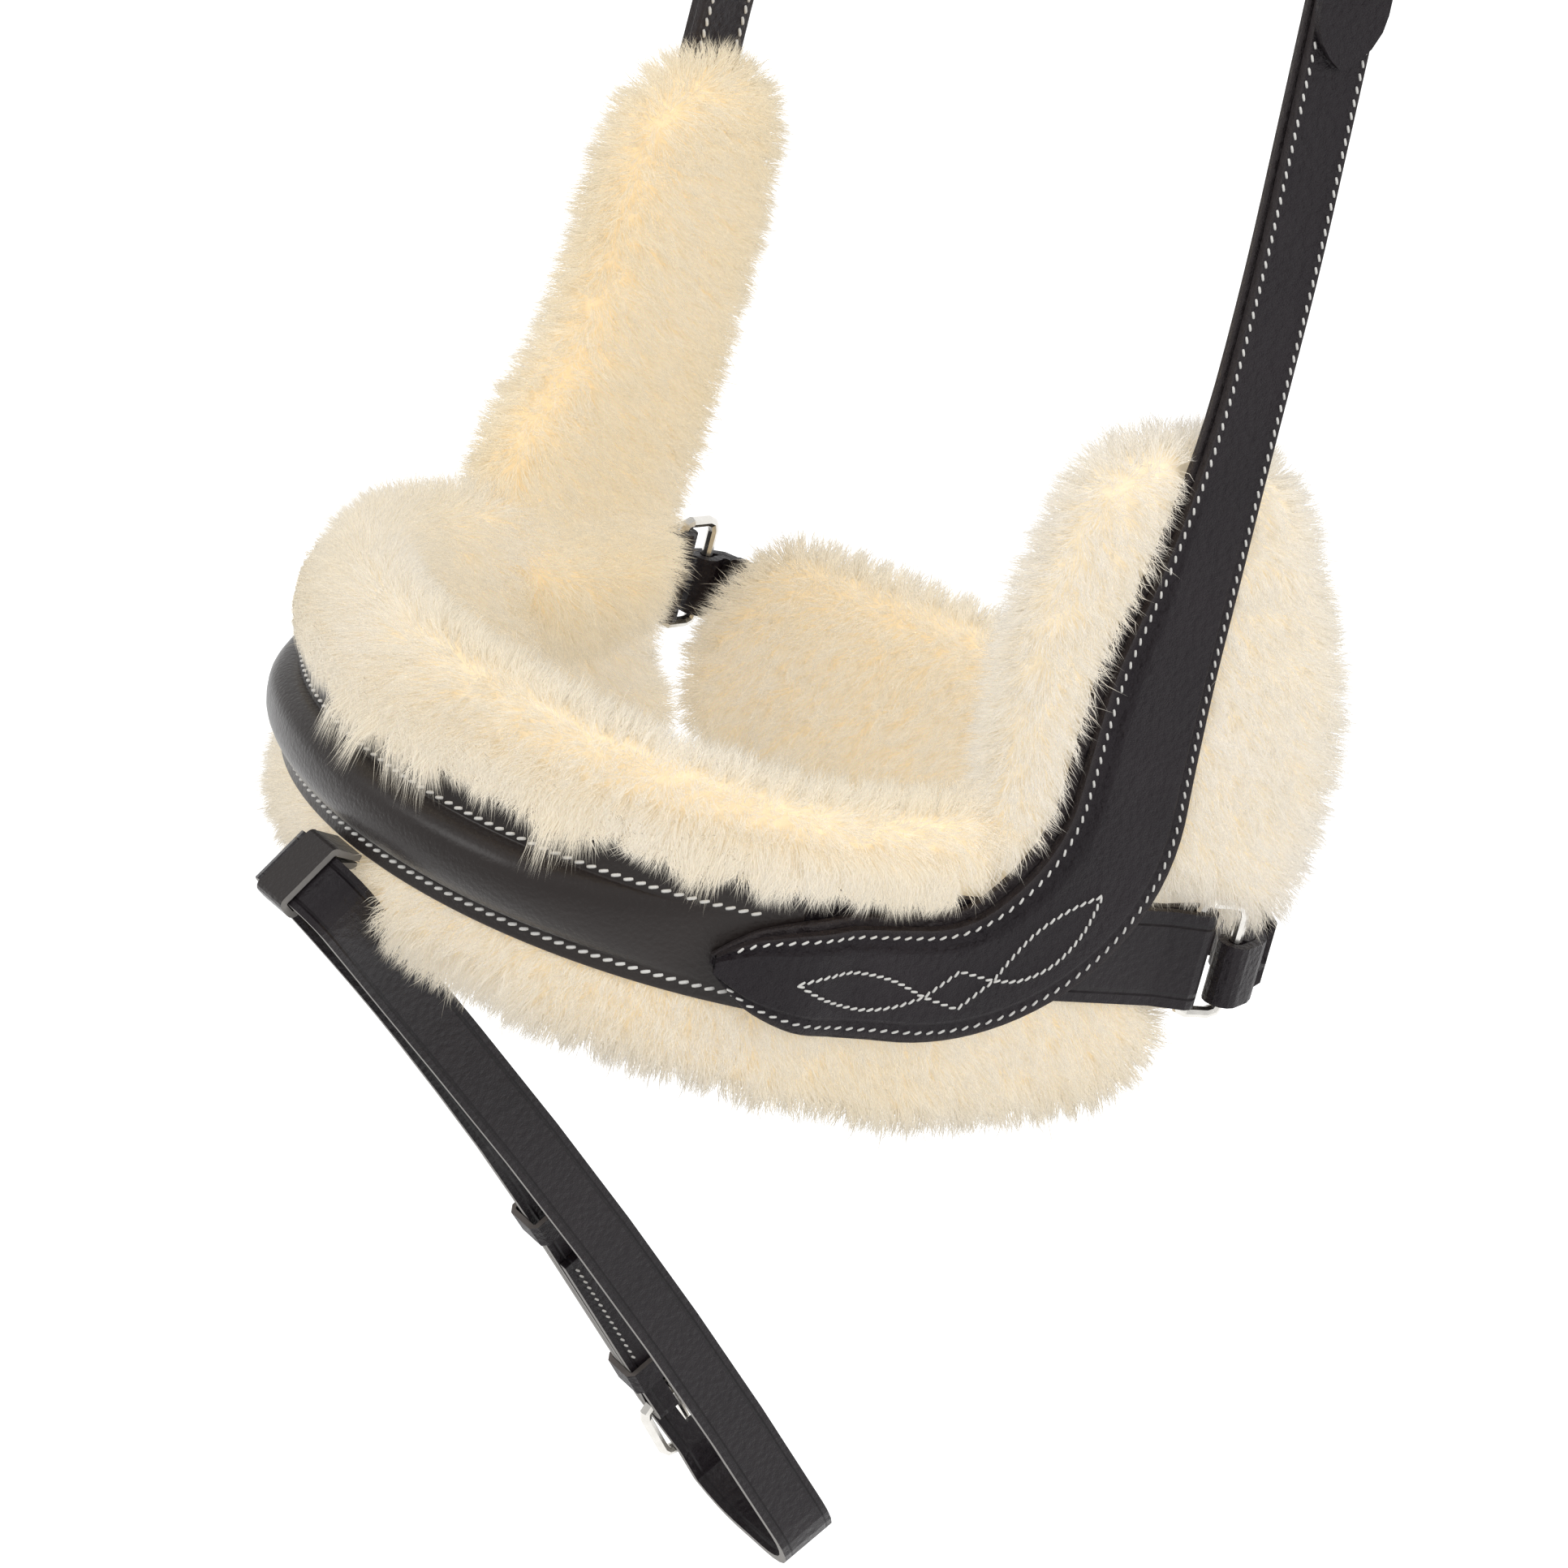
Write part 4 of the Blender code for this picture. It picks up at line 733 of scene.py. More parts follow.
def stitches(name, spots, body, length=0.0023, thick=0.00080):
    points = []
    faces = []
    for here, ahead, out in spots:
        across = out.cross(ahead)
        ahead = ahead * math.cos(STITCH_SLANT) + across * math.sin(STITCH_SLANT)
        across = out.cross(ahead)
        first = len(points)
        for reach, size in STITCH_RINGS:
            middle = here + ahead * (reach * length) + out * (thick * (0.42 * size - 0.3))
            if size == 0.0:
                points.append(middle)
                continue
            for step in range(6):
                angle = step * math.pi / 3
                radius = thick * size / 2
                points.append(middle + across * (math.cos(angle) * radius)
                              + out * (math.sin(angle) * radius))
        last = first + 25
        for step in range(6):
            after = (step + 1) % 6
            faces.append((first, first + 1 + after, first + 1 + step))
            for ring in range(3):
                base = first + 1 + ring * 6
                faces.append((base + step, base + after, base + 6 + after, base + 6 + step))
            faces.append((last, last - 6 + step, last - 6 + after))
    data = bpy.data.meshes.new(name)
    data.from_pydata([tuple(point) for point in points], [], faces)
    data.shade_smooth()
    put(name, data, THREAD, None, body)
    print(name, len(spots), "stitches")


PITCH = 0.0027
FINE_PITCH = 0.0018
SIDE_ROW_SHARE = 0.86
NOSE_ROWS = (-0.80, 0.47)
NOSE_ROW_RUN = 0.096


def cheek_seam(side, share, start, end):
    def path(key, out):
        along = blend(start, end, key)
        return cheek_point(side, along, share, 2 * STRAP_THICK + GAP + out, RIM_SHARE)
    return path


def lobe_point(side, run, climb, out):
    return skin(side * run, climb, cheek_lift(run) + 2 * STRAP_THICK + GAP + RAISE + out)


def curved(side, marks):
    """A flowing seam through marks of run and climb on the lobe's raised middle."""
    keys = np.linspace(0, 1, len(marks))
    table = [(key, *mark) for key, mark in zip(keys, marks)]
    def path(key, out):
        return lobe_point(side, smooth_table(table, key, 1), smooth_table(table, key, 2), out)
    return path


LENS_TOP = [(0.1038, -0.0053), (0.1095, -0.0031), (0.1161, -0.0024), (0.1245, -0.0038), (0.1327, -0.0072)]
LENS_BOTTOM = [(0.1038, -0.0053), (0.1105, -0.0089), (0.1184, -0.0107), (0.1262, -0.0098), (0.1327, -0.0072)]
DIAMOND_TOP = [(0.1327, -0.0072), (0.1396, -0.0009)], [(0.1396, -0.0009), (0.1479, -0.0027)]
DIAMOND_BOTTOM = [(0.1327, -0.0072), (0.1411, -0.0096)], [(0.1411, -0.0096), (0.1479, -0.0027)]
LEAF_TOP = [(0.1479, -0.0027), (0.1510, 0.0030), (0.1552, 0.0090), (0.1612, 0.0142), (0.1682, 0.0181)]
LEAF_BOTTOM = [(0.1479, -0.0027), (0.1545, -0.0022), (0.1612, 0.0018), (0.1660, 0.0092), (0.1682, 0.0181)]

for prefix, side in (("near", 1), ("off", -1)):
    spots = []
    for share in (SIDE_ROW_SHARE, -SIDE_ROW_SHARE):
        seam = cheek_seam(side, share, 0.004, FLARE_LENGTH + CHEEK_TOP - FLARE_CLIMB - 0.003)
        spots += along_path(seam, PITCH)
    for marks in (LENS_TOP, LENS_BOTTOM, *DIAMOND_TOP, *DIAMOND_BOTTOM, LEAF_TOP, LEAF_BOTTOM):
        spots += along_path(curved(side, marks), FINE_PITCH)
    stitches(prefix + "_cheek_stitching", spots, "noseband", length=0.00175, thick=0.0006)

spots = []
for share in NOSE_ROWS:
    spots += along_path(lambda key, out: cover_point(
        blend(-NOSE_ROW_RUN, NOSE_ROW_RUN, key), share, COVER_THICK + out), PITCH)
stitches("nosepiece_stitching", spots, "noseband")


def headstrap_seam(side, share, start, end):
    def path(key, out):
        climb = blend(start, end, key)
        return skin(side * (CHEEK_RUN + share * STRAP_WIDTH / 2), climb, SLIP_LAYER + STRAP_THICK / 2 + out)
    return path


spots = []
for share in (-0.72, 0.72):
    spots += along_path(headstrap_seam(1, share, 0.292, HALF_HEAD - 0.002), PITCH)
    spots += along_path(headstrap_seam(-1, share, CHEEK_TOP + 0.004, HALF_HEAD - 0.002), PITCH)
for share in (-0.72, 0.72):
    spots += along_path(lambda key, out: skin(
        -(CHEEK_RUN + share * STRAP_WIDTH / 2), blend(0.122, OFF_BACKING_TOP - 0.003, key),
        CHEEK_LAYER - out), PITCH)
stitches("headstrap_stitching", spots, "noseband")

# %% [markdown]
# The flash strap hangs below the nose as one loop, so its line is walked in its own plane. The
# same walk tells which way is along it and which way is across, for stitches and cut edges.

# %% The flash strap's line
FLASH_SLANT = math.radians(40.3)
FLASH_BOW_RADIUS = 1.7
FLASH_PINCH = math.radians(10.7)
FLASH_SPREAD = math.radians(4.6)
FLASH_LEGS = [
    (0.006, 0.0),
    arc_leg(0.006, math.pi / 2 + FLASH_PINCH),
    (0.0129, 0.0),
    arc_leg(0.15, -FLASH_PINCH - FLASH_SPREAD),
    (0.1684, 0.0),
    arc_leg(0.0151, math.pi / 2 + FLASH_SPREAD),
]
FLASH_LEGS.append((walk(FLASH_LEGS, leg_length(FLASH_LEGS))[0], 0.0))
FLASH_HALF = leg_length(FLASH_LEGS)
FLASH_HEEL = FLASH_HALF + 0.0487
FLASH_CENTRE = (
    BACKING_THICK + COVER_THICK / 2 + 0.0099,
    NOSE_MIDDLE - NOSE_HALF - 0.00165 - GAP - 0.0008 - 0.0046,
)


def flash(along, aside, out):
    along %= 2 * FLASH_HALF
    side = 1
    if along > FLASH_HALF:
        along = 2 * FLASH_HALF - along
        side = -1
    across, down, heading = walk(FLASH_LEGS, along)
    across = side * (across + out * math.sin(heading))
    down -= out * math.cos(heading)
    slant = FLASH_SLANT + down / FLASH_BOW_RADIUS
    forward = FLASH_CENTRE[0] - FLASH_BOW_RADIUS * (math.sin(slant) - math.sin(FLASH_SLANT))
    height = FLASH_CENTRE[1] + FLASH_BOW_RADIUS * (math.cos(slant) - math.cos(FLASH_SLANT))
    return place(across, forward + aside * math.sin(slant), height - aside * math.cos(slant))


FLASH_INSIDE = -(STRAP_THICK + GAP) / 2 - STRAP_THICK / 2
FLASH_PITCH = 0.0023
spots = []
for aside in (-0.0048, 0.0048):
    spots += along_path(lambda key, out: flash(
        FLASH_HEEL + blend(0.019, 0.057, key), aside, FLASH_INSIDE - out), FLASH_PITCH)
stitches("flash_stitching", spots, "flash", length=0.0015, thick=0.00055)

# %% [markdown]
# The imported solids that show as they are get their finish and the softened edges here. The flash
# strap and its loops take a lighter finish on their cut faces, as a painted highlight along the
# edges, on a copy that stands for the solid.

# %% Hardware and plain leather
# Painted highlight: cut faces much lighter than the leather stand in for the light caught along the edges.
HIGHLIT_CUT_EDGE = leather("highlit_cut_edge", (0.42, 0.40, 0.38), (0.66, 0.64, 0.61), (0.6, 0.6, 0.6), 0.7, 0.0002)
HIGHLIT_TAB_EDGE = leather("highlit_tab_edge", (0.20, 0.19, 0.18), (0.40, 0.38, 0.36), (0.4, 0.4, 0.4), 0.7, 0.0002)
HIGHLIT_LOOP_EDGE = leather("highlit_loop_edge", (0.07, 0.06, 0.055), (0.19, 0.17, 0.16), (0.2, 0.2, 0.2), 0.6, 0.0002)

for name in ("near_ring", "off_ring", "flash_buckle", "flash_tongue", "cheek_buckle", "cheek_tongue",
             "chin_buckle", "chin_tongue"):
    nodes[name].data.materials.clear()
    nodes[name].data.materials.append(NICKEL)
for name in ("nose_backing", "sliphead", "cheek_chape", "cheek_keeper",
             "cheek_runner", "chin_chape", "chin_strap", "chin_keeper", "chin_runner", "chin_pad",
             "chin_pad_loop_1", "chin_pad_loop_2"):
    nodes[name].data.materials.clear()
    nodes[name].data.materials.append(DARK_LEATHER)
    soften(nodes[name], 0.00035)


def leather_copy(node, body, faces_material, edges_material, direction, aside=None):
    """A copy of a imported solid: its faces across a direction show the cut edge."""
    data = nodes[node].data.copy()
    data.materials.clear()
    piece = put(node + "_leather", data, faces_material, "dark_leather", body, node)
    data.materials.append(edges_material)
    for polygon in data.polygons:
        polygon.material_index = 1 if abs(polygon.normal.dot(direction)) > 0.85 else 0
    if aside:
        store(data, "aside", [aside(vertex.co) for vertex in data.vertices])
    soften(piece, 0.0004)


middle = flash(FLASH_HEEL, 0.0, 0.0)
aside_direction = (flash(FLASH_HEEL, 0.001, 0.0) - middle).normalized()
along_direction = (flash(FLASH_HEEL + 0.03, 0.0, 0.0) - middle).normalized()
FLASH_STEPS = 400
FLASH_STRAP_HALF = 0.007
flash_tree = kdtree.KDTree(FLASH_STEPS)
for step in range(FLASH_STEPS):
    flash_tree.insert(flash(2 * step / FLASH_STEPS * FLASH_HALF, 0.0, 0.0), step)
flash_tree.balance()


def flash_aside(point):
    here, step = flash_tree.find(point)[:2]
    across = flash(2 * step / FLASH_STEPS * FLASH_HALF, 0.001, 0.0) - here
    return (point - here).dot(across.normalized()) / FLASH_STRAP_HALF


UP_STRAP = Vector((0.0, math.sin(LEAN), math.cos(LEAN)))
RING_TAB_MIDDLE = 0.0015
RING_TAB_HALF = 0.011


def tab_aside(point):
    return ((point + POLL_POINT).dot(UP_STRAP) - RING_TAB_MIDDLE) / RING_TAB_HALF


leather_copy("flash_strap", "flash", LINED_LEATHER, HIGHLIT_CUT_EDGE, aside_direction, flash_aside)
leather_copy("flash_keeper", "flash", DARK_LEATHER, HIGHLIT_LOOP_EDGE, along_direction)
leather_copy("flash_runner", "flash_runner_body", DARK_LEATHER, HIGHLIT_LOOP_EDGE, along_direction)
leather_copy("flash_tab", "flash", PADDED_LEATHER, HIGHLIT_TAB_EDGE, Vector((1.0, 0.0, 0.0)))
for prefix in ("near", "off"):
    leather_copy(prefix + "_ring_tab", "noseband", LINED_LEATHER, DARK_LEATHER, UP_STRAP, tab_aside)
print("solids dressed")

# %% [markdown]
# The chin strap runs from ring to ring round the back of the jaw. Its fleece needs the same line.

# %% The chin strap's line
CHIN_SLANT = math.radians(26)
CHIN_TURN = math.pi / 2 + SIDE_FLARE - CHIN_SLANT
CHIN_START_RUN = 0.1985 + 0.0102
CHIN_CLIMB = RING_TAB_MIDDLE - 0.003
CHIN_HALF_LEGS = [(0.001, 0.0), arc_leg(0.007, CHIN_TURN), (0.058, 0.0)]


def chin_from(legs, along, out):
    across, backward, facing = walk(PLAN_LEGS, CHIN_START_RUN)
    rear, inward, heading = walk(legs, along)
    rear += out * math.sin(heading)
    inward -= out * math.cos(heading)
    across -= GAP / 2 * math.sin(facing)
    forward = -GAP / 2 * math.cos(facing) - backward
    return (
        across + rear * math.cos(facing) - inward * math.sin(facing),
        forward - rear * math.sin(facing) - inward * math.cos(facing),
    )


CHIN_MIDDLE_HALF = chin_from(CHIN_HALF_LEGS, leg_length(CHIN_HALF_LEGS), 0.0)[0]
CHIN_MIDDLE_LEG = arc_leg(CHIN_MIDDLE_HALF / math.sin(CHIN_SLANT), 2 * CHIN_SLANT)
CHIN_LEGS = CHIN_HALF_LEGS + [CHIN_MIDDLE_LEG] + CHIN_HALF_LEGS[::-1]
CHIN_LENGTH = leg_length(CHIN_LEGS)
CHIN_TOP = -(STRAP_THICK + GAP) / 2 - STRAP_THICK / 2 - GAP - 0.0025 - GAP


def chin(along, across, out):
    x, forward = chin_from(CHIN_LEGS, along, out)
    sag = 0.0075 * ease(along, 0.078, 0.112) * ease(CHIN_LENGTH - along, 0.005, 0.022)
    return place(x, forward, CHIN_CLIMB - sag + across)


print("chin strap mm:", round(CHIN_LENGTH * 1000))

# %% [markdown]
# Sheepskin is a hide with wool standing on it. The hide and its dense undercoat are one rounded
# body, a few millimetres smaller than the finished fleece, and the strands grow from it.

# %% Undercoat
INSET = 0.0042
WOOL_DEPTH = 0.0175
WOOL_BODY_POWER = 0.62
LOOP_POINTS = 44


def wool_loop(low, high, low_leather, high_leather, outer, depth, low_roll, high_roll):
    """A rounded section across the fleece as (height, out) pairs."""
    middle = (low + high) / 2
    half = (high - low) / 2
    edge = outer - 0.42 * depth
    loop = []
    for step in range(LOOP_POINTS):
        angle = 2 * math.pi * step / LOOP_POINTS
        across = math.copysign(abs(math.cos(angle)) ** WOOL_BODY_POWER, math.cos(angle))
        through = abs(math.sin(angle)) ** WOOL_BODY_POWER
        height = middle + half * across
        if math.sin(angle) >= 0:
            top = outer + high_roll * ease(height - high_leather, 0.001, 0.008)
            top += low_roll * ease(low_leather - height, 0.001, 0.008)
            loop.append((height, edge + (top - edge) * through))
        else:
            loop.append((height, edge - (edge - outer + depth) * through))
    return loop


def wool_body(name, keys, section, spot, node, end_round):
    """Loft sections from end to end, rounded off at both ends."""
    points = []
    first, last = keys[0], keys[-1]
    for key in keys:
        loop = section(key)
        near_end = min(key - first, last - key)
        size = (1 - (1 - min(near_end / end_round, 1.0)) ** 2.4) ** (1 / 2.4)
        size = max(size, 0.12)
        centre_height = sum(height for height, out in loop) / len(loop)
        centre_out = sum(out for height, out in loop) / len(loop)
        for height, out in loop:
            points.append(spot(key, centre_height + (height - centre_height) * size,
                               centre_out + (out - centre_out) * size))
    faces = []
    for row in range(len(keys) - 1):
        here, ahead = row * LOOP_POINTS, (row + 1) * LOOP_POINTS
        for step in range(LOOP_POINTS):
            after = (step + 1) % LOOP_POINTS
            faces.append((here + step, here + after, ahead + after, ahead + step))
    faces.append(tuple(range(LOOP_POINTS)))
    faces.append(tuple(range(len(points) - LOOP_POINTS, len(points))))
    data = mesh_from(name, points, faces, "tip", [0.0] * len(points))
    piece = put(name, data, WOOL[node], "sheepskin", "noseband", node)
    return piece


def end_keys(start, end, count):
    """Steps that crowd towards both ends."""
    return [blend(start, end, 0.5 - 0.5 * math.cos(math.pi * step / count)) for step in range(count + 1)]


TAB_START = 0.15
NOSE_END = 0.203
NOSE_WOOL = (
    (0.0, 0.0385, -0.0370), (0.03, 0.0375, -0.0375), (0.06, 0.0355, -0.0365), (0.09, 0.0335, -0.0380),
    (0.12, 0.0320, -0.0415), (0.15, 0.0320, -0.0445), (0.175, 0.0182, -0.0420), (0.203, 0.0182, -0.0325),
)


def nose_section(run):
    size = abs(run)
    cut = ease(size, 0.146, 0.165)
    notch = ease(size, 0.03, 0.05)
    top = smooth_table(NOSE_WOOL, size, 1) - INSET * (1 - cut)
    bottom = smooth_table(NOSE_WOOL, size, 2) + INSET
    middle = blend(NOSE_MIDDLE, RING_TAB_MIDDLE, ease(size, 0.11, TAB_START))
    half = blend(NOSE_HALF, RING_TAB_HALF, ease(size, 0.11, TAB_START))
    clear = ease(size, TAB_START - 0.009, 0.1615)
    low_roll = notch * blend(0.001, -0.002, ease(size, 0.082, 0.09)) * (1 - clear)
    loop = wool_loop(bottom, top, middle - half, middle + half, -GAP - 0.0002 - clear * 0.004,
                     WOOL_DEPTH - INSET - 0.002 * clear, low_roll, 0.0012 * (1 - clear) * (1 - cut))
    if size < 0.07:
        room = 0.03 * ease(size, 0.045, 0.065)
        loop = [(max(height, -0.0238 + 1.2 * out - room), out) for height, out in loop]
    return loop


def nose_spot(run, height, out):
    size = abs(run)
    shift = 0.011 * ease(size, 0.18, NOSE_END) * ease(height, -0.022, -0.004)
    if run < 0:
        shift = 0.022 * ease(size, 0.165, NOSE_END) * ease(height, -0.034, -0.010)
    return skin(run - math.copysign(shift, run), height, out)


NEAR_WOOL = (
    (0.0135, 0.1430, 0.2180), (0.033, 0.1400, 0.2220), (0.058, 0.1370, 0.2200), (0.083, 0.1375, 0.2095),
    (0.102, 0.1420, 0.1985), (0.113, 0.1465, 0.1920), (0.118, 0.1515, 0.1870),
)
OFF_WOOL = (
    (-0.004, 0.1360, 0.1680), (0.012, 0.1280, 0.1800), (0.036, 0.1225, 0.1850), (0.052, 0.1280, 0.1860),
    (0.067, 0.1345, 0.1870), (0.088, 0.1370, 0.1880), (0.107, 0.1380, 0.1870), (0.122, 0.1430, 0.1840),
    (0.133, 0.1520, 0.1790),
)


def cheek_section(table, low_depth):
    def section(climb):
        front = smooth_table(table, climb, 1) + INSET
        rear = smooth_table(table, climb, 2) - INSET
        along = FLARE_LENGTH - FLARE_CLIMB + climb
        strap_front = CHEEK_RUN - cheek_half(along, 1)
        strap_rear = CHEEK_RUN + cheek_half(along, -1)
        sink = 1 - ease(climb, 0.012, 0.024)
        outer = BACKING_THICK - GAP - 0.0002 - 0.0075 * sink
        depth = WOOL_DEPTH - INSET + 0.001 + (low_depth - 0.0075) * sink
        roll = 0.001 * (1 - sink)
        return wool_loop(front, rear, strap_front, strap_rear, outer, depth, roll, roll)
    return section


CHIN_HALVES = ((0.0, 0.55), (0.06, 0.86), (0.16, 1.0), (0.84, 1.0), (0.94, 0.86), (1.0, 0.55))
CHIN_WOOL_HALF = 0.0295
CHIN_NEAR = CHIN_LENGTH - 0.128
CHIN_OFF = CHIN_LENGTH - 0.003


def chin_section(along):
    key = (along - CHIN_NEAR) / (CHIN_OFF - 0.007 - CHIN_NEAR)
    half = smooth_table(CHIN_HALVES, min(max(key, 0.0), 1.0), 1) * CHIN_WOOL_HALF - INSET
    return wool_loop(-half, half, -0.0145, 0.0145, CHIN_TOP - 0.0001, WOOL_DEPTH - INSET, 0.001, 0.001)


def chin_spot(along, across, out):
    """The fleece's far end is cut on a slant: long below, short above."""
    return chin(along - across * 0.3 * ease(along, CHIN_OFF - 0.05, CHIN_OFF), across, out)


def side_spot(side, drop):
    def spot(climb, run, out):
        lower = drop * ease(run, 0.192, 0.214) * (1 - ease(climb, 0.0135, 0.06))
        return skin(side * run, climb - lower, out)
    return spot


undercoats = {
    "nose": wool_body(
        "nose_undercoat", end_keys(-NOSE_END + INSET, NOSE_END - INSET, 110), nose_section, nose_spot,
        "nose_fleece", 0.012),
    "near_cheek": wool_body(
        "near_cheek_undercoat", end_keys(0.0135, 0.118 - INSET, 40), cheek_section(NEAR_WOOL, 0.0075),
        side_spot(1, 0.008), "near_cheek_fleece", 0.012),
    "off_cheek": wool_body(
        "off_cheek_undercoat", end_keys(-0.004, 0.133 - INSET, 46), cheek_section(OFF_WOOL, 0.009),
        side_spot(-1, 0.0), "off_cheek_fleece", 0.014),
    "chin": wool_body(
        "chin_undercoat", end_keys(CHIN_NEAR + INSET, CHIN_OFF - 0.0115, 40), chin_section, chin_spot,
        "chin_fleece", 0.01),
}
print("undercoats:", {name: len(piece.data.polygons) for name, piece in undercoats.items()})

# %% [markdown]
# Strands are grown where the wool is free. Each is a thin tapering spike with a bend, and
# neighbours lean towards a shared tip, which gives the small locks of real sheepskin. A strand
# whose way is blocked by leather is dropped.

# %% Strands
def leather_tree():
    """A search tree of everything hard, so that wool doesn't grow through it."""
    points = []
    faces = []
    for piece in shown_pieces():
        if piece.type != "MESH" or "undercoat" in piece.name or "stitching" in piece.name:
            continue
        base = len(points)
        points += [vertex.co.copy() for vertex in piece.data.vertices]
        faces += [tuple(base + index for index in polygon.vertices) for polygon in piece.data.polygons]
    return BVHTree.FromPolygons(points, faces)


hard = leather_tree()
STRANDS_PER_PIECE = 18000
STRAND_RADIUS = 0.00009
ROOT_DEPTH = 0.0006
HANG = np.array((0.0, 0.0, -0.25))
CLUMP = 0.0031
PULL = 0.42
CURL = 0.3


def unit(rows):
    return rows / np.maximum(np.linalg.norm(rows, axis=1, keepdims=True), 1e-9)


def read_rows(items, field, kind=float):
    rows = np.empty(len(items) * 3, dtype=kind)
    items.foreach_get(field, rows)
    return rows.reshape(-1, 3)


def roots_on(data, count, rng):
    """Random places and normals, evenly spread over a mesh."""
    data.calc_loop_triangles()
    spots = read_rows(data.vertices, "co")
    facing = read_rows(data.vertices, "normal")
    corners = read_rows(data.loop_triangles, "vertices", np.int32)
    a, b, c = (spots[corners[:, column]] for column in range(3))
    areas = np.linalg.norm(np.cross(b - a, c - a), axis=1) / 2
    chosen = rng.choice(len(corners), size=count, p=areas / areas.sum())
    first = np.sqrt(rng.random(count))
    second = rng.random(count)
    weights = np.stack([1 - first, first * (1 - second), first * second], axis=1)
    places = sum(weights[:, [column]] * spots[corners[chosen, column]] for column in range(3))
    normals = unit(sum(weights[:, [column]] * facing[corners[chosen, column]] for column in range(3)))
    return places, normals, areas.sum()


def strand_lines(places, normals, length, rng):
    """Root, bend and tip of every strand."""
    count = len(places)
    size = length * rng.uniform(0.65, 1.25, (count, 1))
    size[rng.random(count) < 0.03] *= 1.45
    heading = unit(normals + HANG + rng.normal(0, 0.22, (count, 3)))
    lock_count = max(int(count / (2.2e6 * CLUMP * CLUMP)), 8)
    leaders = rng.choice(count, size=min(lock_count, count), replace=False)
    tree = kdtree.KDTree(len(leaders))
    for order, leader in enumerate(leaders):
        tree.insert(places[leader], order)
    tree.balance()
    lock = np.array([tree.find(spot)[1] for spot in places])
    lock_lean = rng.normal(0, 0.24, (len(leaders), 3))
    lock_tip = places[leaders] + unit(heading[leaders] + lock_lean) * length
    tips = places + unit(heading + 0.5 * lock_lean[lock]) * size
    away = lock_tip[lock] - tips
    reach = np.linalg.norm(away, axis=1, keepdims=True)
    tips += away * PULL * np.minimum(1.0, 2.0 * CLUMP / np.maximum(reach, 1e-6))
    bend = rng.normal(0, CURL * 0.22, (count, 3)) * size + unit(normals) * size * 0.08
    bends = (places + tips) / 2 + bend
    shade = rng.random(len(leaders))[lock] * 0.6 + rng.random(count) * 0.4
    return places, bends, tips, shade


def free_strands(places, bends, tips):
    """Which strands have a clear way to their tips."""
    clear = np.ones(len(places), dtype=bool)
    for index in range(len(places)):
        for start, end in ((places[index], bends[index]), (bends[index], tips[index])):
            way = Vector(end - start)
            if hard.ray_cast(Vector(start), way, way.length)[0] is not None:
                clear[index] = False
                break
    return clear


def strand_mesh(name, places, bends, tips, normals, shade, radius, rng):
    count = len(places)
    ahead = unit(tips - places)
    side = unit(np.cross(ahead, rng.normal(size=(count, 3))))
    other = np.cross(ahead, side)
    rings = []
    shading = []
    spin = rng.uniform(0, 2 * math.pi, count)
    for centre, size in ((places, 1.0), (bends, 0.72)):
        for step in range(3):
            angle = spin + step * 2 * math.pi / 3
            outwards = np.cos(angle)[:, None] * side + np.sin(angle)[:, None] * other
            rings.append(centre + outwards * radius * size)
            shading.append(unit(normals * 0.75 + outwards * 0.45))
    rings.append(tips)
    shading.append(unit(normals + ahead * 0.3))
    points = np.stack(rings, axis=1).reshape(-1, 3)
    soft = np.stack(shading, axis=1).reshape(-1, 3)
    pattern = np.array([0, 2, 1, 0, 1, 4, 0, 4, 3, 1, 2, 5, 1, 5, 4,
                        2, 0, 3, 2, 3, 5, 3, 4, 6, 4, 5, 6, 5, 3, 6])
    corners = (np.arange(count)[:, None] * 7 + pattern[None, :]).reshape(-1).astype(np.int32)
    data = bpy.data.meshes.new(name)
    data.vertices.add(len(points))
    data.vertices.foreach_set("co", points.reshape(-1).astype(np.float32))
    data.loops.add(len(corners))
    data.loops.foreach_set("vertex_index", corners)
    data.polygons.add(count * 10)
    data.polygons.foreach_set("loop_start", np.arange(0, len(corners), 3, dtype=np.int32))
    data.update(calc_edges=True)
    store(data, "tip", np.tile([0, 0, 0, 0.6, 0.6, 0.6, 1.0], count))
    store(data, "lock", np.repeat(shade, 7))
    cells = math.ceil(math.sqrt(count))
    cell = np.stack([np.arange(count) % cells, np.arange(count) // cells], axis=1) / cells
    across = np.array([0.2, 0.5, 0.8, 0.2, 0.5, 0.8, 0.5])[pattern]
    along = np.array([0.15, 0.15, 0.15, 0.6, 0.6, 0.6, 0.88])[pattern]
    flat = cell[:, None, :] + np.stack([across, along], axis=1)[None, :, :] / cells
    data.uv_layers.new(name="OFBake").data.foreach_set("uv", flat.reshape(-1).astype(np.float32))
    data.shade_smooth()
    data.normals_split_custom_set_from_vertices(soft.tolist())
    return data


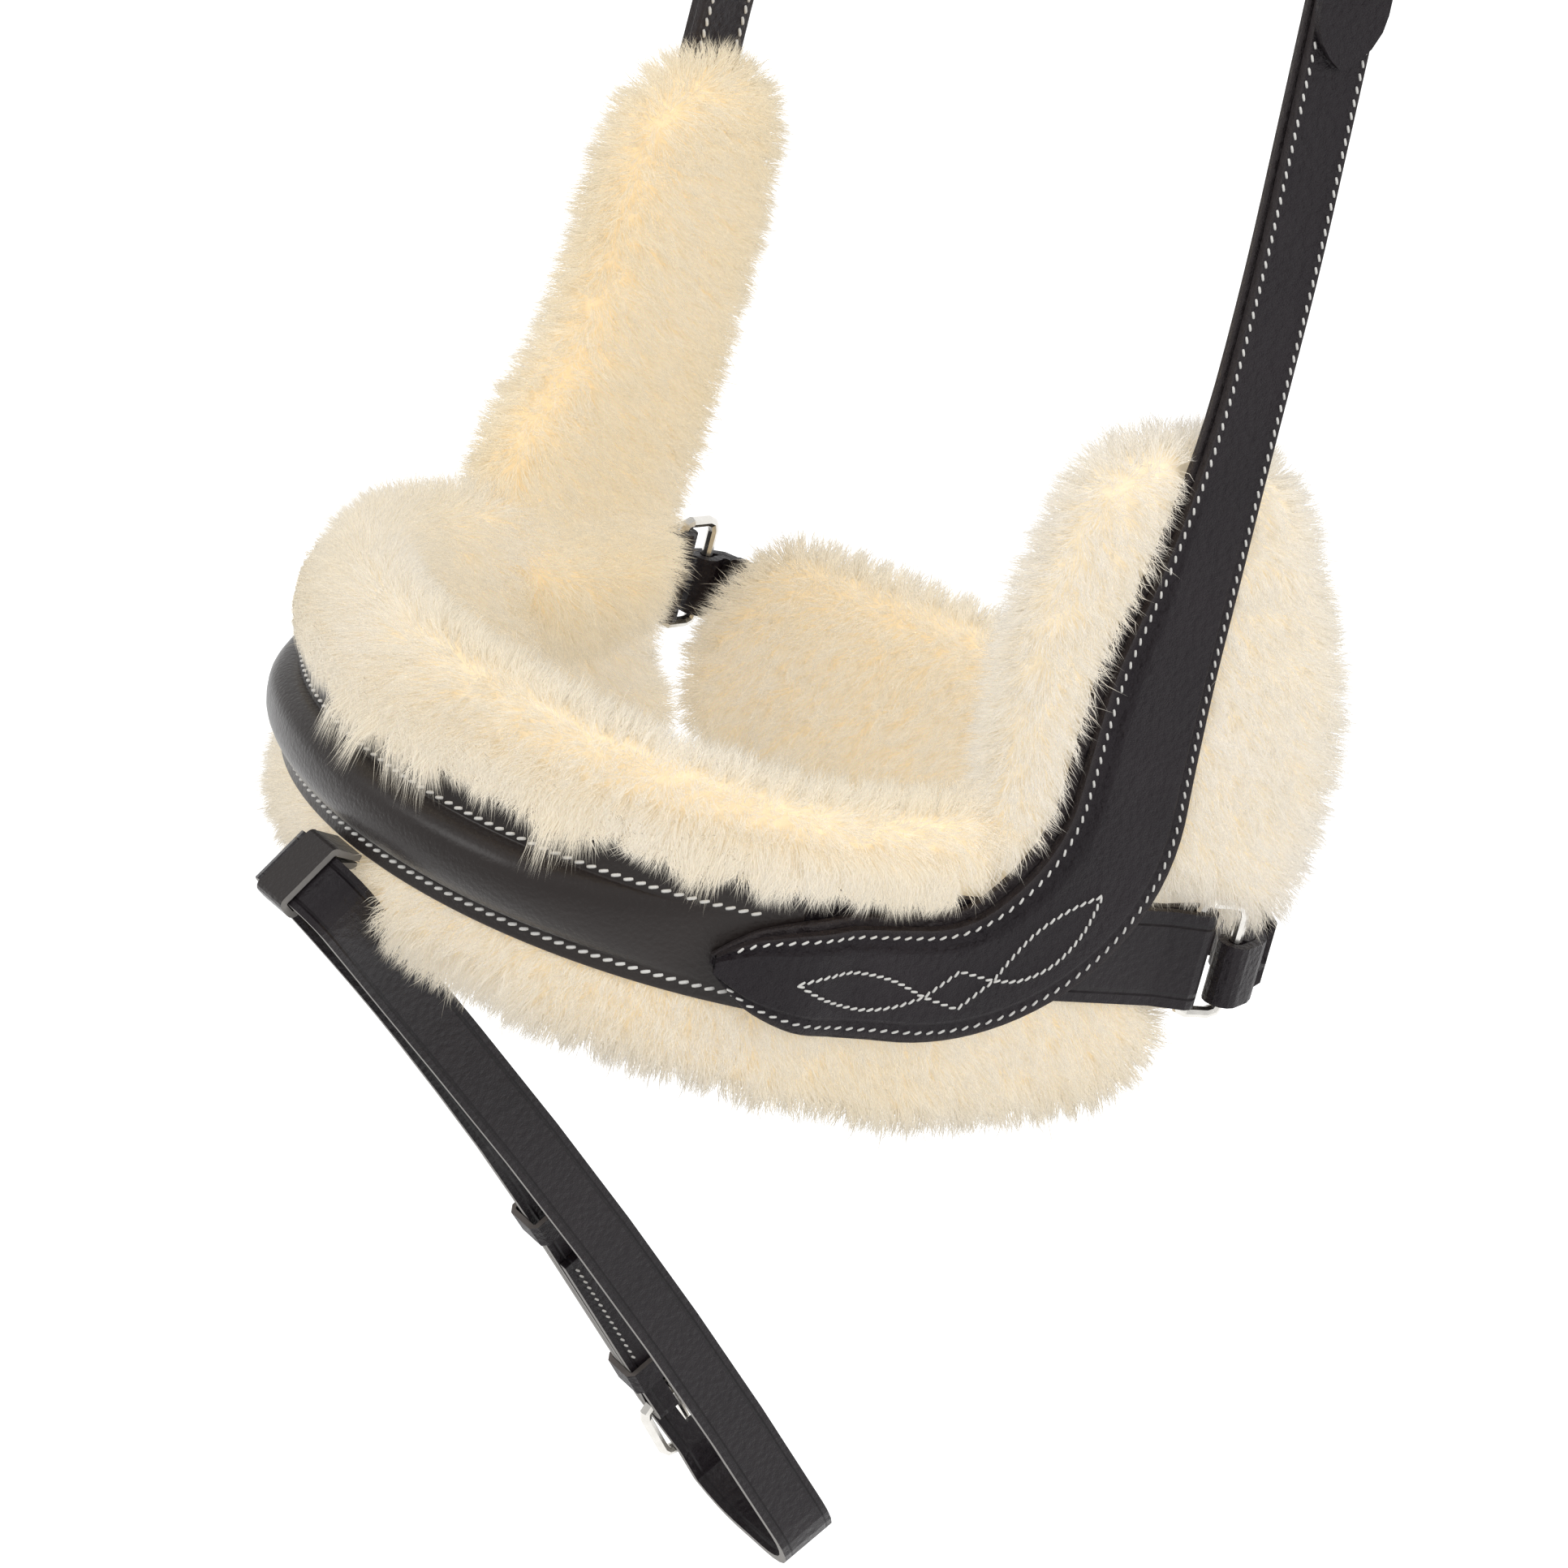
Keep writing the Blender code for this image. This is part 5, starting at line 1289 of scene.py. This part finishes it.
def grow(name, undercoat, density, length, seed):
    """Cover an undercoat with strands, density of them to a square millimetre."""
    rng = np.random.default_rng(seed)
    area = roots_on(undercoat.data, 10, rng)[2]
    places, normals = roots_on(undercoat.data, int(area * 1e6 * density), rng)[:2]
    places, bends, tips, shade = strand_lines(places - normals * ROOT_DEPTH, normals, length, rng)
    kept = free_strands(places, bends, tips)
    places, bends, tips, normals, shade = (rows[kept] for rows in (places, bends, tips, normals, shade))
    order = np.argsort(places[:, 0])
    parts = max(math.ceil(len(order) / STRANDS_PER_PIECE), 1)
    for number, share in enumerate(np.array_split(order, parts), 1):
        data = strand_mesh("%s_%d" % (name, number), places[share], bends[share], tips[share], normals[share],
                           shade[share], STRAND_RADIUS, rng)
        piece = put(data.name, data, WOOL[name.replace("_wool", "_fleece")], "sheepskin", "noseband")
    print(name, len(places), "strands of", len(kept), "in", parts, "pieces")


DENSITY = 4.0
STRAND_LENGTH = 0.0082
for seed, name in enumerate(("nose", "near_cheek", "off_cheek", "chin"), 11):
    grow(name + "_wool", undercoats[name], DENSITY, STRAND_LENGTH, seed)

# %% [markdown]
# Along the top of the nosepiece the wool spills over the leather's edge in uneven tufts. These
# strands are laid in the same run, climb and out numbers as the leather, so they rise over the
# edge and lie on the padding without going into it.

# %% Wool that spills over the nosepiece
SPILL = (
    (-0.134, 0.0110), (-0.080, 0.0090), (-0.040, 0.0080), (-0.016, 0.0040), (0.007, -0.0004), (0.020, 0.0030),
    (0.027, 0.0074), (0.036, 0.0070), (0.044, 0.0014), (0.052, 0.0008), (0.058, 0.0026), (0.063, 0.0078),
    (0.074, 0.0078), (0.079, 0.0018), (0.083, -0.0018), (0.087, 0.0066), (0.095, 0.0086), (0.104, 0.0100),
    (0.120, 0.0096), (0.136, 0.0122),
)


TUFTS = 90
SPILL_RUN = 0.134
SPILL_RADIUS = 0.0001


def spilled_wool(count, seed):
    rng = np.random.default_rng(seed)
    tufts = rng.uniform(0.55, 1.0, TUFTS)
    swirl = rng.normal(0, 0.0016, TUFTS)
    roots = []
    bends = []
    tips = []
    facing = []
    for run, start, reach, wave, lift in zip(
            rng.uniform(-SPILL_RUN, SPILL_RUN, count), rng.uniform(0.0148, 0.0225, count),
            rng.random(count) ** 0.42, rng.normal(0, 0.0011, count), rng.uniform(0.0006, 0.0028, count)):
        tuft = min(int((run + 0.0012 * math.sin(start * 900) + 0.14) / 0.28 * TUFTS), TUFTS - 1)
        wave += swirl[tuft]
        end = blend(start, smooth_table(SPILL, run, 1) - 0.001, reach * tufts[tuft])
        over = (start + end) / 2 + 0.001
        share = min(max((end - NOSE_MIDDLE) / NOSE_HALF, -1.0), 1.0)
        ground = BACKING_THICK + GAP + DOME_HEIGHT * nose_swell(run, share) + COVER_THICK
        ground += 0.0048 * ease(abs(run), 0.086, 0.1)
        roots.append(skin(run, start, 0.0004))
        bends.append(skin(run + wave * 0.5, over, max(0.0056, ground * 0.9) + lift * 0.8))
        tips.append(skin(run + wave * 1.4, end, ground + lift * 0.7))
        facing.append(skin(run, end, 0.01) - skin(run, end, 0.0))
    roots, bends, tips, facing = (np.array(rows, dtype=float) for rows in (roots, bends, tips, facing))
    kept = free_strands(roots, bends, tips)
    shade = rng.random(count)
    data = strand_mesh("nose_wool_spill", roots[kept], bends[kept], tips[kept], unit(facing)[kept],
                       shade[kept], SPILL_RADIUS, rng)
    piece = put(data.name, data, WOOL["nose_fleece"], "sheepskin", "noseband")
    print("spilled strands:", int(kept.sum()), "of", count)


spilled_wool(19000, 21)
